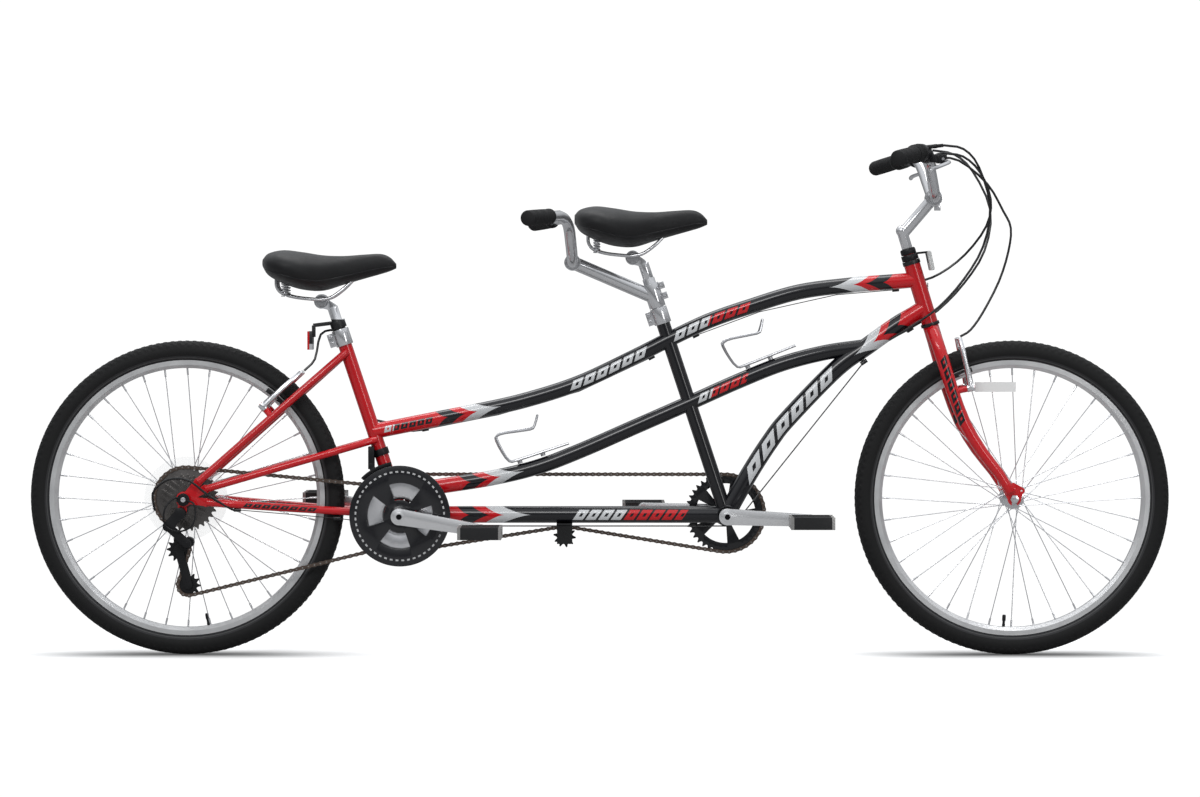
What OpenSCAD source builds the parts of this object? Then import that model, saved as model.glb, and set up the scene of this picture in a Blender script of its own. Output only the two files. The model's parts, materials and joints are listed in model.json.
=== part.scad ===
// Tandem bicycle: two riders, curved twin-lateral steel frame, 3 x 7 gears, rim brakes.
// +X is forwards, +Y is the rider's left, +Z is up. The origin is on the ground, midway between the axles.

/* [Wheels] */
// Outer radius of both tyres
wheel_r = 325; // [280:1:360]
// Width of the tyre's section
tyre_w = 44; // [32:1:52]
// Depth of the rim from its bead seat to its inner edge
rim_depth = 17; // [13:1:24]
// Spokes in each wheel
spoke_count = 36; // [24:4:36]
// Radius of a spoke
spoke_r = 1; // [0.8:0.1:1.4]

/* [Frame] */
// Rear axle to the stoker's bottom bracket, along the ground
rear_centre = 442; // [425:1:540]
// Distance between the two bottom brackets
boom_len = 672; // [600:1:820]
// Captain's bottom bracket to the front axle, along the ground
front_centre = 590; // [560:1:720]
// How far the bottom brackets sit below the axles
bb_drop = 35; // [0:1:60]
// Length of the captain's seat tube
captain_tube_len = 416; // [390:1:500]
// Length of the stoker's seat tube
stoker_tube_len = 369; // [340:1:440]
// Lean of both seat tubes back from upright
seat_tilt = 18.3; // [16:0.1:20]
// Outer radius of the seat tubes
seat_tube_r = 14.3; // [14.3:0.1:16]
// Outer radius of the top and lateral tubes
top_tube_r = 15.9; // [13:0.1:17.5]
// Outer radius of the boom tube
boom_r = 17.45; // [15:0.05:19]
// Outer radius of the down tube
down_tube_r = 18.5; // [16:0.1:20]
// Wall of the big tubes
tube_wall = 2; // [1.8:0.1:2.8]

/* [Steering] */
// Lean of the steering axis back from upright
steer_tilt = 17; // [15:0.1:20]
// Front axle's distance ahead of the steering axis
rake = 57; // [40:1:65]
// Axle level to the lower headset cup, along the steering axis
fork_len = 378; // [375:1:440]
// Length of the head tube
head_len = 126; // [110:1:170]
// Outer radius of the head tube
head_r = 17; // [16.5:0.1:20]
// Radius of the steerer
steerer_r = 12.7; // [12.7:0.1:14.3]

/* [Cockpit and seats] */
// Radius of the seat posts
post_r = 12.7; // [12.5:0.1:12.9]
// Captain's saddle clamp above the bottom bracket, along the seat tube
captain_seat_height = 559; // [555:1:620]
// Stoker's saddle clamp above the bottom bracket, along the seat tube
stoker_seat_height = 464; // [460:1:520]
// Half the width of the handlebars
bar_half = 305; // [260:1:340]
// Radius of the handlebar tube
bar_r = 11.1; // [10.8:0.1:12.7]
// Length of a saddle
saddle_len = 274; // [240:1:300]
// Width of a saddle at the back
saddle_w = 206; // [160:1:230]

/* [Drivetrain] */
// Teeth of the three drive rings, the smallest first
ring_teeth = [28, 38, 48];
// Teeth of the seven freewheel cogs, the largest first
cog_teeth = [32, 24, 22, 20, 18, 16, 14];
// Teeth of each timing ring
timing_teeth = 40; // [36:1:44]
// Crank length from the spindle to the pedal
crank_len = 170; // [165:0.5:175]
// Chain pitch
pitch = 12.7; // [12.7]

/* [Fits] */
// Running clearance on a radius, for shafts and bearings
run_gap = 0.05; // [0.02:0.01:0.08]
// Air between parts that pass each other
air = 0.4; // [0.3:0.1:1]

/* [Hidden] */
$fn = 48;

wheelbase = rear_centre + boom_len + front_centre;
rear_axle_p = [-wheelbase / 2, 0, wheel_r];
front_axle_p = [wheelbase / 2, 0, wheel_r];
bb_z = wheel_r - bb_drop;
rear_bb = [rear_axle_p.x + rear_centre, 0, bb_z];
front_bb = [rear_bb.x + boom_len, 0, bb_z];
up_seat = [-sin(seat_tilt), 0, cos(seat_tilt)];
up_steer = [-sin(steer_tilt), 0, cos(steer_tilt)];
fwd_steer = [cos(steer_tilt), 0, sin(steer_tilt)];
steer_foot = front_axle_p - [rake / cos(steer_tilt), 0, 0];
head_low = steer_foot + fork_len * up_steer;
head_top = head_low + head_len * up_steer;
captain_top = front_bb + captain_tube_len * up_seat;
stoker_top = rear_bb + stoker_tube_len * up_seat;

// Drivetrain stations across the bike; the drive side is at negative Y.
chain_y = -37;
ring_step = 7.5;
cog_step = 4.5;
timing_y = 46;
crank_in = 74;
crank_thick = 14;
tooth_thick = 2;
rear_crank_angle = -9.5;
front_crank_angle = -2.5;
pedal_in = crank_in + crank_thick;
pedal_w = 100;
pedal_l = 89;
axle_r = 5;
rear_old = 135;
front_old = 100;
dropout_thick = 5;

// ---- vectors and frames -------------------------------------------------
function unit(v) = v / norm(v);
function lerp(a, b, t) = a + (b - a) * t;
function last(v) = v[len(v) - 1];
function mirror_y(p) = [for (q = p) [q.x, -q.y, q.z]];

// Smooth curve through the points p, with k steps between neighbours.
function spline_point(a, b, c, d, t) =
    0.5 * (2 * b + (c - a) * t + (2 * a - 5 * b + 4 * c - d) * t * t + (3 * b - a - 3 * c + d) * t * t * t);
function smooth(p, k) = concat(
    [for (i = [0 : len(p) - 2], j = [0 : k - 1])
        spline_point(i == 0 ? 2 * p[0] - p[1] : p[i - 1], p[i], p[i + 1],
            i + 2 < len(p) ? p[i + 2] : 2 * p[i + 1] - p[i], j / k)],
    [last(p)]);

function tangents(p) = [for (i = [0 : len(p) - 1]) unit(p[min(i + 1, len(p) - 1)] - p[max(i - 1, 0)])];
function carried(t, n, i = 0) = i >= len(t) ? [] :
    let (m = unit(n - (n * t[i]) * t[i])) concat([m], carried(t, m, i + 1));
function first_normal(t) = abs(t.y) < 0.9 ? [0, 1, 0] : [1, 0, 0];
function ring_points(p, t, n, r, sides) =
    [for (k = [0 : sides - 1]) p + r * (cos(360 * k / sides) * n + sin(360 * k / sides) * cross(t, n))];

// A round tube of radius r swept along the points; wall > 0 leaves it hollow. r may be a list, one per point.
module swept(p, r, sides = 16, wall = 0) {
    t = tangents(p);
    n = carried(t, first_normal(t[0]));
    m = len(p);
    radius = [for (i = [0 : m - 1]) is_list(r) ? r[i] : r];
    outer = [for (i = [0 : m - 1]) each ring_points(p[i], t[i], n[i], radius[i], sides)];
    inner = wall > 0 ? [for (i = [0 : m - 1]) each ring_points(p[i], t[i], n[i], radius[i] - wall, sides)] : [];
    o = m * sides;
    skin = [for (i = [0 : m - 2], k = [0 : sides - 1], h = [0, 1])
        let (a = i * sides + k, b = i * sides + (k + 1) % sides)
        h == 0 ? [a, a + sides, b] : [b, a + sides, b + sides]];
    lining = wall > 0 ? [for (f = skin) [o + f[0], o + f[2], o + f[1]]] : [];
    e = (m - 1) * sides;
    ends = wall > 0
        ? [for (k = [0 : sides - 1], h = [0 : 3]) let (j = (k + 1) % sides)
            h == 0 ? [k, j, o + k] : h == 1 ? [j, o + j, o + k]
            : h == 2 ? [e + k, o + e + k, e + j] : [e + j, o + e + k, o + e + j]]
        : concat([for (k = [1 : sides - 2]) [0, k, k + 1]], [for (k = [1 : sides - 2]) [e, e + k + 1, e + k]]);
    polyhedron(concat(outer, inner), concat(skin, lining, ends));
}

module along(a, b) {
    d = b - a;
    translate(a) rotate([0, acos(d.z / norm(d)), atan2(d.y, d.x)]) children();
}
module rod(a, b, r) { along(a, b) cylinder(h = norm(b - a), r = r); }
module pipe(a, b, ro, ri) {
    difference() {
        rod(a, b, ro);
        rod(a - unit(b - a), b + unit(b - a), ri);
    }
}
// A cylinder across the bike from y0 to y1 at the point p.
module cross_rod(p, r, y0, y1) { translate([p.x, y0, p.z]) rotate([-90, 0, 0]) cylinder(h = y1 - y0, r = r); }
// Turns a drawing in the XY plane into a plate in the bike's side plane, from y0 to y1.
module side_plate(y0, y1) { translate([0, y1, 0]) rotate([90, 0, 0]) linear_extrude(y1 - y0) children(); }
// A bolt head lying along the direction d.

// ---- chain paths --------------------------------------------------------
// A pulley is [x, z, radius, turn], with turn +1 for anticlockwise in the XZ plane.
function roller_radius(teeth) = teeth * pitch / 360 * 180 / PI;
function heading(a) = [cos(a), sin(a)];
function tangent_angle(a, b) =
    let (d = [b[0] - a[0], b[1] - a[1]], k = a[2] * a[3] - b[2] * b[3])
    atan2(d.y, d.x) - acos(k / norm(d));
function touch(c, m) = [c[0], c[1]] + c[2] * c[3] * heading(m);
function turn_sweep(c, m_in, m_out) = let (s = c[3] * (m_out - m_in)) (s - 360 * floor(s / 360));
// Each stretch is [length, kind, data...]: an arc round a pulley, then the straight run that leaves it.
function stretches(c) = let (n = len(c)) [for (i = [0 : n - 1], kind = [0, 1])
    let (m_in = tangent_angle(c[(i + n - 1) % n], c[i]), m_out = tangent_angle(c[i], c[(i + 1) % n]),
        s = turn_sweep(c[i], m_in, m_out))
    kind == 0 ? [c[i][2] * s * PI / 180, 0, c[i], m_in + (c[i][3] < 0 ? 180 : 0)]
        : [norm(touch(c[(i + 1) % n], m_out) - touch(c[i], m_out)), 1, touch(c[i], m_out), touch(c[(i + 1) % n], m_out)]];
function total(s, i = 0) = i >= len(s) ? 0 : s[i][0] + total(s, i + 1);
function spot(s, d, i = 0) = d > s[i][0] && i < len(s) - 1 ? spot(s, d - s[i][0], i + 1)
    : s[i][1] == 0 ? [s[i][2][0], s[i][2][1]] + s[i][2][2] * heading(s[i][3] + s[i][2][3] * d / s[i][2][2] * 180 / PI)
    : lerp(s[i][2], s[i][3], d / s[i][0]);
function links(c) = round(total(stretches(c)) / pitch);
function pins(c) = let (s = stretches(c), n = links(c), p = total(s) / n) [for (i = [0 : n - 1]) spot(s, i * p)];
function before(s, i) = i <= 0 ? 0 : s[i - 1][0] + before(s, i - 1);
// Direction from pulley i's centre to the pin nearest the middle of its wrap.
function mesh_angle(c, i) = let (s = stretches(c), p = total(s) / links(c),
        k = round((before(s, 2 * i) + s[2 * i][0] / 2) / p), q = spot(s, k * p))
    atan2(q.y - c[i][1], q.x - c[i][0]);

// The tooth outline, as shares of a pitch and heights from the pitch circle.
tooth = [[0, -4.2], [0.16, -3.4], [0.29, -0.6], [0.42, 3.1], [0.58, 3.1], [0.71, -0.6], [0.84, -3.4]];
function tooth_ring(teeth, phase) = let (r = pitch / 2 / sin(180 / teeth))
    [for (i = [0 : teeth - 1], t = tooth) (r + t[1]) * heading(phase + 360 * (i + t[0]) / teeth)];

idler_teeth = 10;
jockey_teeth = 11;
idler_p = [lerp(rear_bb.x, front_bb.x, 0.502), 0, bb_z - 48];
jockey_up_p = rear_axle_p + [-14, 0, -105];
jockey_low_p = rear_axle_p + [5, 0, -178];
drive_path = [
    [rear_bb.x, bb_z, roller_radius(ring_teeth[0]), -1],
    [jockey_low_p.x, jockey_low_p.z, roller_radius(jockey_teeth), -1],
    [jockey_up_p.x, jockey_up_p.z, roller_radius(jockey_teeth), 1],
    [rear_axle_p.x, wheel_r, roller_radius(cog_teeth[0]), -1]
];
timing_path = [
    [rear_bb.x, bb_z, roller_radius(timing_teeth), -1],
    [front_bb.x, bb_z, roller_radius(timing_teeth), -1],
    [idler_p.x, idler_p.z, roller_radius(idler_teeth), 1]
];
plate_half = 4;
plate_in = tooth_thick / 2 + air;
plate_out = plate_in + 1.6;
pin_r = 1.7;

// A closed roller chain round the pulleys: two bands of side plates, and a pin at each pitch.
module chain(c, y) {
    p = pins(c);
    n = len(p);
    side = [for (i = [0 : n - 1]) let (d = unit(p[(i + 1) % n] - p[(i + n - 1) % n])) plate_half * [-d.y, d.x]];
    loops = concat([for (i = [0 : n - 1]) p[i] + side[i]], [for (i = [0 : n - 1]) p[i] - side[i]]);
    for (s = [-1, 1])
        side_plate(y + min(s * plate_in, s * plate_out), y + max(s * plate_in, s * plate_out))
            polygon(loops, [[for (i = [0 : n - 1]) i], [for (i = [0 : n - 1]) n + i]]);
    for (q = p) cross_rod([q.x, 0, q.y], pin_r, y - plate_in, y + plate_in);
}

// ---- wheels -------------------------------------------------------------
tyre_h = tyre_w;
bead_r = wheel_r - tyre_h + 4;
rim_in_r = bead_r - rim_depth;
rim_w = 25;
tyre_mid_r = wheel_r - tyre_h / 2;
flange_r = 22;
flange_t = 3;
hub_r = 15;

module about_axle(p) { translate(p) rotate([90, 0, 0]) children(); }

module tyre(p) {
    color([0.09, 0.09, 0.1]) about_axle(p) rotate_extrude() difference() {
        translate([tyre_mid_r, 0]) circle(tyre_w / 2);
        translate([tyre_mid_r, 0]) circle(tyre_w / 2 - 3.5);
        translate([bead_r - tyre_w / 2, -tyre_w]) square([tyre_w / 2, 2 * tyre_w]);
    }
}
module rim(p) {
    color("silver") about_axle(p) rotate_extrude() polygon([
        [bead_r - air, -rim_w / 2 + 4.5], [bead_r - air, -rim_w / 2], [bead_r - 10, -rim_w / 2],
        [rim_in_r, -7], [rim_in_r, 7], [bead_r - 10, rim_w / 2], [bead_r - air, rim_w / 2],
        [bead_r - air, rim_w / 2 - 4.5], [bead_r - 9, rim_w / 2 - 4.5], [rim_in_r + 3, 5],
        [rim_in_r + 3, -5], [bead_r - 9, -rim_w / 2 + 4.5]]);
}
// Tangential spokes, laced in crossed pairs from the two flanges, with a nipple on each.
module spokes(p, y_right, y_left) {
    per_side = spoke_count / 2;
    lead = 360 / spoke_count * 5;
    color([0.75, 0.75, 0.77]) for (i = [0 : per_side - 1], s = [0, 1]) {
        a = 360 * (i + s / 2) / per_side;
        way = i % 2 == 0 ? 1 : -1;
        y = s == 0 ? y_right : y_left;
        hub_a = a - way * lead;
        out = (y > 0 ? 1 : -1) * (flange_t / 2 + spoke_r + air) * (way > 0 ? 1 : -1);
        from = p + [(flange_r - 3) * cos(hub_a), y + out, (flange_r - 3) * sin(hub_a)];
        to = p + [(rim_in_r - air) * cos(a), 0, (rim_in_r - air) * sin(a)];
        rod(from, to, spoke_r);
        rod(to, to - 14 * unit(to - from), spoke_r + 1);
    }
}
module hub(p, y_right, y_left, y_a, y_b, y_core) {
    color("silver") difference() {
        union() {
            cross_rod(p, hub_r, y_core, y_left);
            cross_rod(p, 12, y_a, y_b);
            for (y = [y_right, y_left]) cross_rod(p, flange_r, y - flange_t / 2, y + flange_t / 2);
        }
        cross_rod(p, axle_r + run_gap, y_a - 1, y_b + 1);
    }
}
rear_flange_right = -23;
rear_flange_left = 36;
front_flange = 34;
freewheel_core_r = 17;

module front_tyre() { tyre(front_axle_p); }
module rear_tyre() { tyre(rear_axle_p); }
module front_rim() { rim(front_axle_p); }
module rear_rim() { rim(rear_axle_p); }
module front_spokes() {
    spokes(front_axle_p, -front_flange, front_flange);
    // reflector between two spokes
    color([0.9, 0.9, 0.88]) translate(front_axle_p + [-77, -11, 219]) cube([84, 6, 20]);
}
module rear_spokes() { spokes(rear_axle_p, rear_flange_right, rear_flange_left); }
module front_hub() { hub(front_axle_p, -front_flange, front_flange, -front_old / 2 + 4, front_old / 2 - 4, -front_flange); }
module rear_hub() {
    hub(rear_axle_p, rear_flange_right, rear_flange_left, -rear_old / 2 + 4, rear_old / 2 - 4, -rear_old / 2 + 6);
    color([0.92, 0.92, 0.95, 0.4]) difference() {
        cross_rod(rear_axle_p, 86, chain_y + 4.6, chain_y + 6);
        cross_rod(rear_axle_p, hub_r, chain_y, chain_y + 8);
    }
}
module axle(p, old) {
    color([0.7, 0.7, 0.72]) {
        cross_rod(p, axle_r, -old / 2 - 18, old / 2 + 18);
        for (s = [-1, 1]) {
            translate([p.x, s * (old / 2 + dropout_thick + 3.5), p.z]) rotate([90, 0, 0])
                cylinder(h = 7, r = 9, center = true, $fn = 6);
            cross_rod(p, 8, min(s * (old / 2 - 3.5), s * old / 2), max(s * (old / 2 - 3.5), s * old / 2));
        }
    }
}
module front_axle() { axle(front_axle_p, front_old); }

// ---- frame tubes --------------------------------------------------------
module seat_void(bb, len) { rod(bb - 40 * up_seat, bb + len * up_seat, seat_tube_r); }
module head_void() { rod(head_low - 20 * up_steer, head_top + 20 * up_steer, head_r); }
shell_r = 20.5;
shell_half = 34;
shell_bore = 17.4;
module shell_void(bb) { cross_rod(bb, shell_r, -shell_half - 1, shell_half + 1); }

captain_joint_up = front_bb + (captain_tube_len - 35) * up_seat;
captain_joint_low = front_bb + (captain_tube_len - 173) * up_seat;
stoker_joint_up = rear_bb + 181 * up_seat;
stoker_joint_low = rear_bb + 47 * up_seat;

// A curve from a to b that leaves the straight line by the listed heights, [share of the way, height].
function bowed(a, b, heights) = let (d = b - a, up = unit([-d.z, 0, d.x]))
    concat([a], [for (h = heights) lerp(a, b, h[0]) + h[1] * up], [b]);

head_joint_up = head_low + (head_len - 33) * up_steer;
head_joint_low = head_low + 34 * up_steer;
top_front_line = smooth(bowed(captain_joint_up, head_joint_up,
    [[0.17, 18], [0.34, 27], [0.54, 32.5], [0.74, 21.5], [0.9, 8]]), 3);
top_rear_line = smooth(bowed(stoker_joint_up, captain_joint_up,
    [[0.17, -11.5], [0.34, -23.5], [0.5, -31.5], [0.68, -30.5], [0.87, -14]]), 3);
down_line = smooth(bowed(front_bb, head_joint_low,
    [[0.16, 24], [0.29, 39], [0.39, 45], [0.63, 44], [0.77, 29.5], [0.88, 17]]), 3);
lateral_front_end = bowed(front_bb, head_joint_low, [[0.76, 31]])[1];
lateral_front_line = smooth(bowed(captain_joint_low, lateral_front_end,
    [[0.29, 12.4], [0.54, 19], [0.78, 14]]), 3);
lateral_rear_line = smooth(bowed(stoker_joint_low, captain_joint_low,
    [[0.16, -15.5], [0.32, -29.5], [0.47, -35], [0.62, -28.5], [0.8, -15]]), 3);

red = [0.78, 0.06, 0.1];
black = [0.07, 0.07, 0.09];
tube_sides = 14;

module head_tube() { color(red) pipe(head_low, head_top, head_r, head_r - 3); }
module top_tubes() {
    color(black) difference() {
        swept(top_front_line, top_tube_r, tube_sides, tube_wall);
        seat_void(front_bb, captain_tube_len);
        head_void();
    }
    color(black) difference() {
        swept(top_rear_line, top_tube_r, tube_sides, tube_wall);
        seat_void(front_bb, captain_tube_len);
        seat_void(rear_bb, stoker_tube_len);
    }
}
module down_void() { swept(down_line, down_tube_r, tube_sides); }
module lateral_tubes() {
    color(black) difference() {
        swept(lateral_front_line, top_tube_r, tube_sides, tube_wall);
        seat_void(front_bb, captain_tube_len);
        down_void();
    }
    color(black) difference() {
        swept(lateral_rear_line, top_tube_r, tube_sides, tube_wall);
        seat_void(front_bb, captain_tube_len);
        seat_void(rear_bb, stoker_tube_len);
    }
}
module down_tube() {
    color(black) difference() {
        swept(down_line, down_tube_r, tube_sides, tube_wall);
        shell_void(front_bb);
        seat_void(front_bb, captain_tube_len);
        head_void();
        boom_void();
    }
}
module boom_void() { rod(rear_bb, front_bb, boom_r); }
module boom_tube() {
    color(black) difference() {
        union() {
            rod(rear_bb, front_bb, boom_r);
            cross_rod(rear_bb, shell_r, -shell_half, shell_half);
            cross_rod(front_bb, shell_r, -shell_half, shell_half);
        }
        rod(rear_bb + [shell_r, 0, 0], front_bb - [shell_r, 0, 0], boom_r - tube_wall);
        for (b = [rear_bb, front_bb]) cross_rod(b, shell_bore, -shell_half - 1, shell_half + 1);
    }
}
module seat_tube(bb, len) {
    difference() {
        rod(bb, bb + len * up_seat, seat_tube_r);
        rod(bb + 10 * up_seat, bb + (len + 1) * up_seat, post_r + run_gap);
        shell_void(bb);
        boom_void();
    }
}
module captain_seat_tube() { color(black) seat_tube(front_bb, captain_tube_len); }
module stoker_seat_tube() { color(red) seat_tube(rear_bb, stoker_tube_len); }

// ---- rear triangle ------------------------------------------------------
stay_y = rear_old / 2 + dropout_thick / 2;
stay_r = 8;
seat_stay_foot = rear_axle_p + [30, 0, 36];
seat_stay_head = stoker_top - 14 * up_seat;
mid_stay_foot = rear_axle_p + [44, 0, 21];
mid_stay_head = rear_bb + 164 * up_seat;
chain_stay_foot = rear_axle_p + [46, 0, -6];
chain_stay_head = rear_bb + [-16, 0, 2];
function stay_line(foot, head, y_mid, y_head, t) = smooth([
    foot + [0, stay_y, 0], lerp(foot, head, t) + [0, y_mid, 0], lerp(foot, head, 0.85) + [0, lerp(y_mid, y_head, 0.45), 0],
    head + [0, y_head, 0]], 3);
seat_stay_line = stay_line(seat_stay_foot, seat_stay_head, 43, 13, 0.66);
mid_stay_line = stay_line(mid_stay_foot, mid_stay_head, 46, 12, 0.55);
chain_stay_line = smooth([chain_stay_foot + [0, stay_y, 0], lerp(chain_stay_foot, chain_stay_head, 0.35) + [0, 51, -1],
    lerp(chain_stay_foot, chain_stay_head, 0.62) + [0, 34.5, -1], lerp(chain_stay_foot, chain_stay_head, 0.76) + [0, 28.5, -1],
    lerp(chain_stay_foot, chain_stay_head, 0.87) + [0, 24.5, 0], chain_stay_head + [0, 23, 0]], 2);

module stay_pair(line, r) {
    for (l = [line, mirror_y(line)]) difference() {
        swept(l, r, 12);
        seat_void(rear_bb, stoker_tube_len + 40);
        shell_void(rear_bb);
    }
}
module seat_stays() {
    color(red) stay_pair(seat_stay_line, stay_r);
}
hanger_p = rear_axle_p + [-6, 0, -28];
module dropout_outline() {
    difference() {
        union() {
            circle(16);
            for (q = [seat_stay_foot, mid_stay_foot, chain_stay_foot]) let (v = q - rear_axle_p) {
                rotate(atan2(v.z, v.x)) translate([0, -8]) square([norm(v) + 4, 16]);
                translate([v.x, v.z]) circle(9);
            }
        }
        circle(axle_r + air);
        translate([-20, -axle_r - air]) square([20, 2 * (axle_r + air)]);
    }
}
module chain_stays() {
    color(red) {
        stay_pair(chain_stay_line, stay_r + 0.3);
        stay_pair(mid_stay_line, stay_r - 0.5);
        for (s = [-1, 1]) translate([rear_axle_p.x, s * stay_y, rear_axle_p.z]) rotate([90, 0, 0])
            translate([0, 0, -dropout_thick / 2]) linear_extrude(dropout_thick) dropout_outline();
        // bolt eye for the derailleur hanger and its web
        difference() {
            union() {
                cross_rod(hanger_p, 10, -stay_y - dropout_thick / 2, -stay_y + dropout_thick / 2);
                side_plate(-stay_y - dropout_thick / 2, -stay_y + dropout_thick / 2)
                    translate([rear_axle_p.x - 12, rear_axle_p.z - 28]) square([18, 18]);
            }
            cross_rod(hanger_p, 5.1, -stay_y - 10, -stay_y + 10);
            cross_rod(rear_axle_p, 9, -stay_y - 10, -stay_y + 10);
        }
    }
}

// ---- seats --------------------------------------------------------------
clamp_h = 34;
module seat_collar(top) {
    low = top - 1 * up_seat;
    high = top + clamp_h * up_seat;
    back = [-cos(seat_tilt), 0, -sin(seat_tilt)];
    difference() {
        union() {
            rod(top, high, seat_tube_r + 3.5);
            for (s = [-1, 1]) rod_box(top + 3 * up_seat + (seat_tube_r + 7) * back, [16, 7, clamp_h - 6], s * 5);
        }
        rod(low, high + up_seat, post_r + run_gap);
    }
    for (h = [11, clamp_h - 9]) {
        c = top + h * up_seat + (seat_tube_r + 10) * back;
        for (s = [-1, 1]) cross_rod(c, 3.6, min(s * 8.5, s * 12.5), max(s * 8.5, s * 12.5));
    }
}
// A box that stands along the seat tube's lean, its foot centred at p and moved sideways by y.
module rod_box(p, size, y) {
    translate([p.x, y, p.z]) rotate([0, -seat_tilt, 0]) translate([-size.x / 2, -size.y / 2, 0]) cube(size);
}
module seat_clamps() {
    color([0.72, 0.72, 0.74]) {
        seat_collar(captain_top);
        seat_collar(stoker_top);
    }
}
saddle_back = 18;
captain_clamp = front_bb + captain_seat_height * up_seat - [saddle_back, 0, 0];
stoker_clamp = rear_bb + stoker_seat_height * up_seat - [saddle_back, 0, 0];
post_depth = 190;
module seatpost(bb, height, clamp) {
    top = bb + (height - 12) * up_seat;
    color([0.8, 0.8, 0.82]) {
        difference() {
            union() {
                rod(bb + (height - 12 - post_depth - 30) * up_seat, bb + (height - 45) * up_seat, post_r);
                rod(bb + (height - 45) * up_seat, top, 11);
            }
            rod(bb + (height - post_depth - 50) * up_seat, bb + (height - 47) * up_seat, post_r - 2.4);
        }
        // cradle below the rail clamp, round the tilt bolt
        difference() {
            union() {
                cross_rod(clamp, 15, -14, 14);
                side_plate(-9, 9) polygon([[clamp.x, clamp.z - 14], [top.x + 8, top.z - 10], [top.x + 8, top.z + 4], [clamp.x, clamp.z + 12]]);
            }
            cross_rod(clamp, 11.5, -20, 20);
        }
    }
}
// The saddle: stations of [share of length, half width share, underside, top], above the clamp's centre.
saddle_stations = [[0, 0.3, 70, 88], [0.05, 0.78, 52, 100], [0.16, 1, 36, 106], [0.3, 0.97, 24, 102], [0.45, 0.72, 22, 96],
    [0.6, 0.42, 34, 95], [0.75, 0.27, 46, 98], [0.88, 0.2, 56, 99], [0.95, 0.16, 62, 92], [1, 0.08, 68, 78]];
saddle_rear = 120;
module saddle_body(c) {
    sides = 16;
    pts = [for (s = saddle_stations, k = [0 : sides - 1]) let (a = 360 * k / sides, w = s[1] * saddle_w / 2,
            mid = (s[2] + s[3]) / 2, half = (s[3] - s[2]) / 2)
        c + [s[0] * saddle_len - saddle_rear, w * sign(cos(a)) * pow(abs(cos(a)), 0.75), mid + half * sin(a)]];
    m = len(saddle_stations);
    e = (m - 1) * sides;
    polyhedron(pts, concat(
        [for (i = [0 : m - 2], k = [0 : sides - 1], h = [0, 1])
            let (a = i * sides + k, b = i * sides + (k + 1) % sides)
            h == 0 ? [a, a + sides, b] : [b, a + sides, b + sides]],
        [for (k = [1 : sides - 2]) [0, k, k + 1]], [for (k = [1 : sides - 2]) [e, e + k + 1, e + k]]));
}
rail_y = 22;
rail_r = 3.5;
rail_line = [[-92, rail_y, 50], [-91, rail_y, 30], [-80, rail_y, 17], [-55, rail_y, 9], [-22, rail_y, 5], [0, rail_y, 4],
    [22, rail_y, 9], [46, 18, 26], [66, 11, 46]];
module saddle_rails(c) {
    color([0.75, 0.75, 0.77]) {
        for (l = [rail_line, mirror_y(rail_line)]) swept([for (q = smooth(l, 2)) c + q], rail_r, 8);
        // clamp drum between the rails, and two springs at the back
        cross_rod(c, 11.5 - run_gap, -rail_y + rail_r, rail_y - rail_r);
        for (s = [-1, 1]) translate(c + [-74, s * 31, 10]) cylinder(h = 36, r = 7.5);
    }
}
module captain_seatpost() {
    seatpost(front_bb, captain_seat_height, captain_clamp);
    color([0.7, 0.7, 0.72]) stoker_stem();
}
module stoker_seatpost() {
    seatpost(rear_bb, stoker_seat_height, stoker_clamp);
    c = stoker_top + (clamp_h + 11) * up_seat;
    color([0.15, 0.15, 0.16]) difference() {
        union() {
            rod(c - 8 * up_seat, c + 8 * up_seat, post_r + 3.5);
            translate(c + [-51, -5, -6]) rotate([0, -7, 0]) cube([44, 10, 8]);
            translate(c + [-54, -7, -26]) cube([7, 14, 24]);
        }
        rod(c - 12 * up_seat, c + 12 * up_seat, post_r - 1);
    }
    color([0.6, 0.05, 0.06]) translate(c + [-62, -24, -52]) cube([10, 48, 38]);
}
module saddle(c) { color([0.1, 0.1, 0.11]) saddle_body(c); }
module captain_saddle() { saddle(captain_clamp); }
module captain_saddle_rails() { saddle_rails(captain_clamp); }
module stoker_saddle() { saddle(stoker_clamp); }
module stoker_saddle_rails() { saddle_rails(stoker_clamp); }

// ---- bars and stems -----------------------------------------------------
// Half of a swept-back riser bar, from the middle of its clamp to its right end: a curve, then a straight.
clamp_half = 23;
bar_bend = [-30, -0.52 * bar_half, 91.5];
bar_tip = [-89, -bar_half, 81];
riser = [[0, -clamp_half, 0], [0, -31, 0.8], [-1, -45, 9], [-5, -70, 36], [-11, -98, 70], [-19, -128, 86], bar_bend];
bar_shape = concat(smooth(riser, 2), [bar_tip]);
function tilted(p, c, a) = [for (q = p) c + [q.x * cos(a) - q.z * sin(a), q.y, q.x * sin(a) + q.z * cos(a)]];
function to_side(p, s) = [for (q = p) [q.x, s * abs(q.y), q.z]];
// The point of the bar at the distance y from the middle plane, on the side s.
function between(p, y, i = 0) = -p[i + 1].y >= y || i == len(p) - 2
    ? lerp(p[i], p[i + 1], (y + p[i].y) / (p[i].y - p[i + 1].y)) : between(p, y, i + 1);
function bar_at(c, a, y, s) = to_side([between(tilted(bar_shape, c, a), y)], s)[0];
function bar_way(c, a, y, s) = unit(bar_at(c, a, y + 10, s) - bar_at(c, a, y, s));
captain_bar_tilt = 6;
stoker_bar_tilt = -3;
captain_bar_p = head_top + [44, 0, 137];
stoker_bar_p = captain_top + [-187, 0, 126];
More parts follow.
